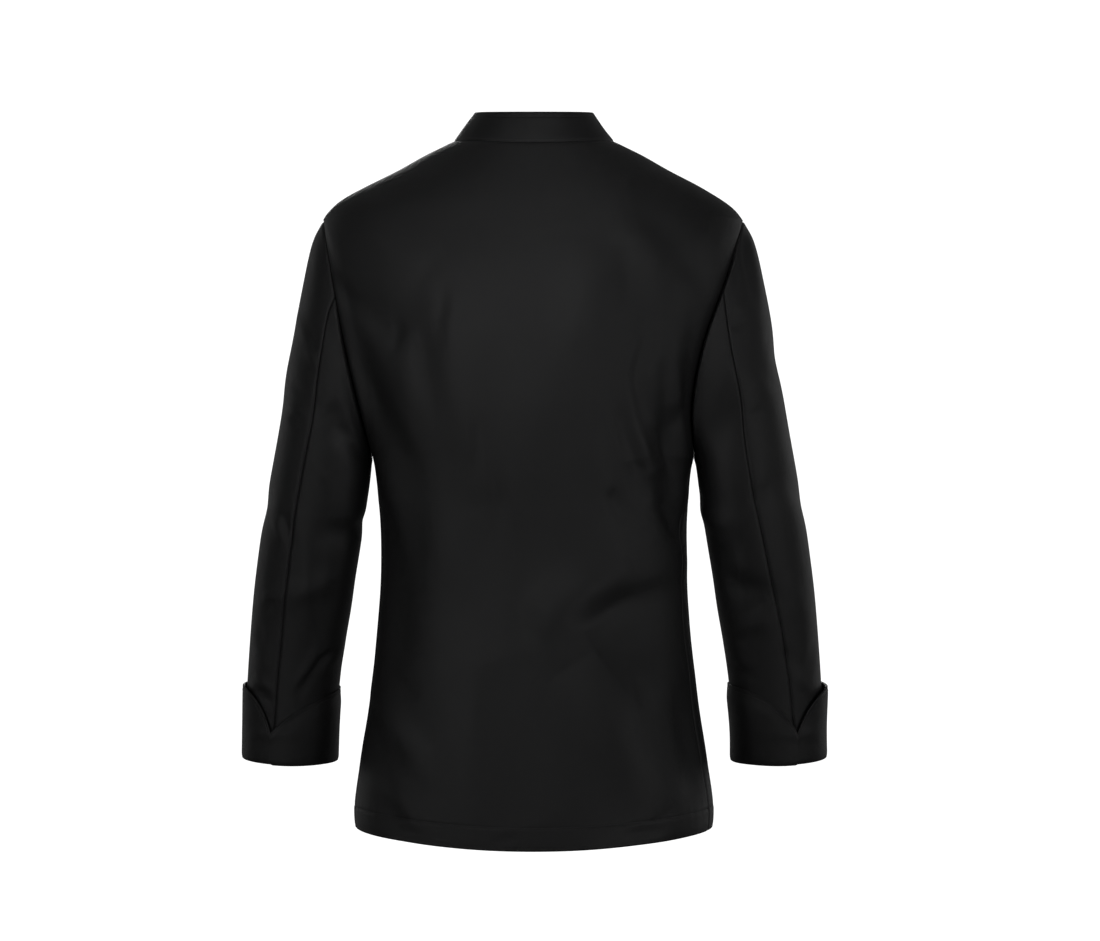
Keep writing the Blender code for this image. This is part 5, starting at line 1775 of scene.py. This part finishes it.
@dataclass
class Buttons:
    """Two columns of four-hole buttons on the front, and the buttonholes beside the overlap's edge."""

    form: BodyForm = BodyForm()
    radius: float = 0.009
    thickness: float = 0.0034
    rim: float = 0.0016
    dish: float = 0.0008
    lift: float = 0.0005
    rows: int = 5
    top: float = -0.125
    pitch: float = 0.088
    from_edge: float = 0.020
    hole_out: float = 0.0014
    hole_radius: float = 0.0009
    hole_depth: float = 0.0016
    hole_ease: float = 0.0003
    edge_round: float = 0.0011
    segments: int = 72
    sharp_edge: float = 40.0
    thread_pitch: float = 0.00028
    thread_radius: float = 0.00026

    def places(self) -> list[tuple[Side, Grid, Grid]]:
        """Side, place round the body and height of each button, down each column in turn."""
        found = []
        for side in Side:
            for row in range(self.rows):
                height = np.array([self.top - self.pitch * row])
                distance = self.form.lap_width(height) - self.from_edge
                place = self.form.place_at_distance(side, distance, height)
                found.append((side, 2.0 - side.sign * place, height))
        return found

    def seat(self, place: Grid, height: Grid, panels: BodyPanels, shift: float = 0.0) -> tuple[Grid, Grid]:
        """Point on the cloth and the axes (across, up, out) there.

        Args:
            place: Place round the body.
            height: Height on the body.
            panels: Panels that the button lies on.
            shift: Distance across from the place.

        Returns:
            The point and a matrix whose columns are the axes.
        """
        place = place + shift / self.form.mean_quarter
        normal = self.form.normal(place, height)[0]
        point = self.form.point(place, height)[0] + normal * panels.lift(place, height)[0]
        side = unit(np.cross(UPWARD, normal))
        return point, np.stack([side, np.cross(normal, side), normal], axis=1)

    def surface(self) -> tuple[Grid, Grid]:
        """Radii and heights of the button's face, edge and back."""
        face_rings, rim_rings, edge_rings = 26, 5, 8
        rim_share = 0.8
        face = np.linspace(0.0, self.radius - 2 * self.rim, face_rings)
        edge_turn = np.linspace(0.0, math.pi, edge_rings + 1)[1:]
        rise = np.linspace(0.0, 1.0, rim_rings + 1)[1:]
        radii = list(face) + list(face[-1] + rise * self.rim * rim_share)
        heights = [self.thickness - self.dish] * len(face)
        heights += list(self.thickness - self.dish * (1 - smooth_step(rise)))
        half = self.thickness / 2
        radii += list(self.radius - self.edge_round + self.edge_round * np.sin(edge_turn))
        heights += list(half + half * np.cos(edge_turn))
        radii[-1] = self.radius - self.rim
        return np.array(radii), np.array(heights)

    def mesh(self, name: str) -> Mesh:
        """Button with a raised rim and four holes, its back at its origin and its face along +Z."""
        radii, heights = self.surface()
        turn = np.arange(self.segments) * 2 * math.pi / self.segments
        points: list[Triple] = [(0.0, 0.0, float(heights[0]))]
        for radius, height in zip(radii[1:], heights[1:]):
            for angle in turn:
                x, y = radius * math.cos(angle), radius * math.sin(angle)
                nearest = math.hypot(abs(x) - self.hole_out, abs(y) - self.hole_out)
                in_face = radius < self.radius - 2 * self.rim and height > self.thickness / 2
                past_hole = (nearest - self.hole_radius + self.hole_ease / 2) / self.hole_ease
                sunk = float(1 - smooth_step(past_hole)) if in_face else 0.0
                points.append((x, y, float(height) - self.hole_depth * sunk))
        points.append((0.0, 0.0, 0.0))
        count, rings = self.segments, len(radii) - 1
        faces: list[tuple[int, ...]] = [(0, 1 + i, 1 + (i + 1) % count) for i in range(count)]
        for ring in range(rings - 1):
            low = 1 + ring * count
            for i in range(count):
                after = (i + 1) % count
                faces.append((low + i, low + count + i, low + count + after, low + after))
        low = 1 + (rings - 1) * count
        faces += [(low + (i + 1) % count, low + i, len(points) - 1) for i in range(count)]
        data = new_mesh(name, points, faces)
        data.set_sharp_from_angle(angle=math.radians(self.sharp_edge))
        return data

    def build(self, panels: BodyPanels, finish: Material, thread: Material) -> None:
        """Every button with its thread, and the buttonholes.

        Args:
            panels: Body panels that the buttons lie on.
            finish: Material of the buttons.
            thread: Material of the stitches.
        """
        runs: list[StitchRun] = []
        for number, (side, place, height) in enumerate(self.places(), start=1):
            point, axes = self.seat(place, height, panels)
            piece = add_piece(self.mesh(f"front_button_{number}"), [f"button_{number}"], finish)
            seat = Matrix([tuple(row) for row in axes]).to_4x4()
            seat.translation = Vector(point + axes[:, 2] * self.lift)
            piece.matrix_world = seat
            runs.extend(self.thread_runs(point, axes))
            if side is Side.RIGHT:
                runs.extend(self.buttonhole(place, height, panels))
        add_piece(stitch_mesh("button_thread", runs), [], thread)

    def thread_runs(self, point: Grid, axes: Grid) -> list[StitchRun]:
        """Crossed threads through the four holes."""
        runs = []
        face = self.lift + self.thickness - self.dish
        for x, y in ((1.0, 1.0), (1.0, -1.0)):
            for offset in (-self.thread_pitch, 0.0, self.thread_pitch):
                ends = []
                for sign in (-1.0, 1.0):
                    out = self.hole_out * sign
                    aside = np.array([x * out - y * offset, y * out + x * offset])
                    ends.append(point + axes[:, 0] * aside[0] + axes[:, 1] * aside[1] + axes[:, 2] * face)
                normals = np.array([axes[:, 2], axes[:, 2]])
                span = float(np.linalg.norm(ends[1] - ends[0]))
                runs.append(StitchRun(np.array(ends), normals, span * 0.94, span * 0.03, self.thread_radius))
        return runs

    def buttonhole(self, place: Grid, height: Grid, panels: BodyPanels) -> list[StitchRun]:
        """Satin stitches round a level slit that runs from under the button towards the middle."""
        half_long, half_wide, reach, shift = 0.0105, 0.0009, 0.0011, -0.0075
        pitch, slit_share = 0.00052, 0.3
        length, gap, radius = 0.0016, 0.0001, 0.0003
        runs = []
        point, axes = self.seat(place, height, panels, shift)
        out = axes[:, 2]
        for sign in (-1.0, 1.0):
            for along in np.arange(-half_long, half_long, pitch):
                near = point + axes[:, 0] * along + axes[:, 1] * sign * half_wide * slit_share
                far = near + axes[:, 1] * sign * (half_wide + reach)
                ends = np.array([near, far]) + out * 2 * THREAD_LIFT
                runs.append(StitchRun(ends, np.array([out, out]), length, gap, radius))
        return runs


@dataclass(frozen=True)
class SoftBox:
    """Soft studio light: where it stands, what it faces, its size and its power."""

    name: str
    place: Triple
    aim: Triple
    width: float
    height: float
    power: float


@dataclass
class Studio:
    """Pale floor, soft lights, a white surround and the camera behind the jacket."""

    floor_height: float = -1.55
    camera_place: Triple = (-0.0176, 3.0, -0.361)
    camera_lens: float = 89.26
    lights: tuple[SoftBox, ...] = (
        SoftBox("low_left", (1.6, 2.0, -1.0), (0.0, 0.0, -0.40), 1.0, 0.8, 8.0),
        SoftBox("low_right", (-1.6, 2.0, -1.0), (0.0, 0.0, -0.40), 1.0, 0.8, 6.4),
        SoftBox("low_middle", (0.0, 2.6, -1.2), (0.0, 0.0, -0.50), 1.4, 0.6, 1.1),
        SoftBox("low_right_side", (-2.4, 1.6, -0.7), (0.0, 0.0, -0.50), 0.8, 1.2, 3.0),
        SoftBox("left_wing", (2.2, 2.4, 0.3), (0.0, 0.0, -0.35), 1.2, 1.8, 4.2),
        SoftBox("right_wing", (-2.2, 2.4, 0.3), (0.0, 0.0, -0.35), 1.2, 1.8, 4.8),
        SoftBox("upper_left", (1.2, 1.6, 1.2), (0.0, 0.0, -0.30), 0.8, 0.8, 3.5),
        SoftBox("upper_right", (-1.2, 1.6, 1.2), (0.0, 0.0, -0.30), 0.8, 0.8, 0.7),
        SoftBox("top", (0.0, 0.3, 2.2), (0.0, 0.0, 0.0), 1.6, 1.6, 4.0),
        SoftBox("near_blades", (-0.1, 0.8, 0.25), (0.0, 0.0, -0.20), 0.4, 0.3, 1.1),
        SoftBox("near_middle", (0.05, 0.55, -0.20), (0.04, 0.0, -0.25), 0.2, 0.4, 0.3),
        SoftBox("left_side", (2.6, 0.6, 0.0), (0.0, 0.0, -0.35), 1.0, 2.0, 1.3),
        SoftBox("right_side", (-2.6, 0.6, 0.0), (0.0, 0.0, -0.35), 1.0, 2.0, 3.4),
        SoftBox("left_edge", (2.1, -1.7, 0.0), (0.0, 0.0, -0.35), 1.0, 2.0, 3.6),
        SoftBox("right_edge", (-2.1, -1.7, 0.0), (0.0, 0.0, -0.35), 1.0, 2.0, 5.6),
        SoftBox("front", (0.3, -2.4, 0.5), (0.0, 0.0, -0.25), 1.0, 1.0, 20.0),
    )
    seen_white: float = 1.15
    front_glow: float = 0.16
    room_glow: float = 0.0
    glow_reach: Pair = (-0.80, 0.25)

    def build_floor(self) -> None:
        """Round pale floor below the jacket."""
        reach, sides = FLOOR.rim, 96
        turns = np.arange(sides) * 2 * math.pi / sides
        points = [(reach * math.cos(turn), reach * math.sin(turn), 0.0) for turn in turns]
        data = bpy.data.meshes.new("floor")
        data.from_pydata(points, [], [tuple(range(sides))])
        data.materials.append(FLOOR.material())
        floor = bpy.data.objects.new("floor", data)
        floor.location = (0.0, 0.0, self.floor_height)
        floor.visible_diffuse = False
        floor.visible_glossy = False
        bpy.context.scene.collection.objects.link(floor)

    def build_lights(self) -> None:
        """Soft boxes."""
        for box in self.lights:
            light = bpy.data.lights.new(box.name, "AREA")
            light.shape = "RECTANGLE"
            light.size, light.size_y = box.width, box.height
            light.energy = box.power
            lamp = bpy.data.objects.new(box.name, light)
            lamp.location = box.place
            lamp.visible_camera = False
            lamp.rotation_euler = (Vector(box.aim) - Vector(box.place)).to_track_quat("-Z", "Y").to_euler()
            bpy.context.scene.collection.objects.link(lamp)

    def build_surround(self) -> None:
        """Surround that is seen white and glows weakly on the cloth from before the jacket's front."""
        world = bpy.data.worlds.new("surround")
        world.use_nodes = True
        tree = ShaderTree(world.node_tree)
        background = world.node_tree.nodes["Background"]
        place = tree.node("TexCoord")
        split = tree.node("SeparateXYZ")
        tree.link(place.outputs["Generated"], split.inputs["Vector"])
        ends = (self.front_glow, self.room_glow)
        eased = tree.ranged(split.outputs["Y"], self.glow_reach, ends, "SMOOTHSTEP")
        rays = tree.node("LightPath")
        seen = tree.node("Mix")
        seen.inputs["B"].default_value = self.seen_white
        tree.link(rays.outputs["Is Camera Ray"], seen.inputs["Factor"])
        tree.link(eased, seen.inputs["A"])
        tree.link(seen.outputs["Result"], background.inputs["Strength"])
        background.inputs["Color"].default_value = (1.0, 1.0, 1.0, 1.0)
        bpy.context.scene.world = world

    def build_camera(self) -> None:
        """Camera level with the middle of the jacket, looking at its back."""
        data = bpy.data.cameras.new("camera")
        data.sensor_width = 36.0
        data.lens = self.camera_lens
        camera = bpy.data.objects.new("camera", data)
        camera.location = self.camera_place
        camera.rotation_euler = (math.radians(90.0), 0.0, math.radians(180.0))
        bpy.context.scene.collection.objects.link(camera)
        bpy.context.scene.camera = camera

    def build(self) -> None:
        """Everything round the jacket."""
        bpy.context.scene.view_settings.view_transform = "Standard"
        self.build_floor()
        self.build_lights()
        self.build_surround()
        self.build_camera()


def main() -> None:
    """Build the jacket piece by piece, then the studio round it."""
    logging.basicConfig(level=logging.INFO, format="%(name)s: %(message)s")
    body_twill = TwillFinish("body_twill").material()
    sleeve_twill = TwillFinish("sleeve_twill").material()
    collar_twill = TwillFinish("collar_twill", roughness=0.54).material()
    cuff_twill = TwillFinish("cuff_twill", roughness=0.54).material()
    thread = THREAD.material()
    panels, collar = BodyPanels(), Collar()
    panels.build_back(collar, body_twill)
    for side in Side:
        panels.build_front(side, collar, body_twill)
    panels.build_stitching(thread)
    collar.build(panels, collar_twill, thread)
    for side in Side:
        Sleeve(side).build(sleeve_twill)
        Cuff(side).build(cuff_twill, thread)
    Buttons().build(panels, BUTTON.material(), thread)
    Studio().build()


if __name__ == "__main__":
    main()
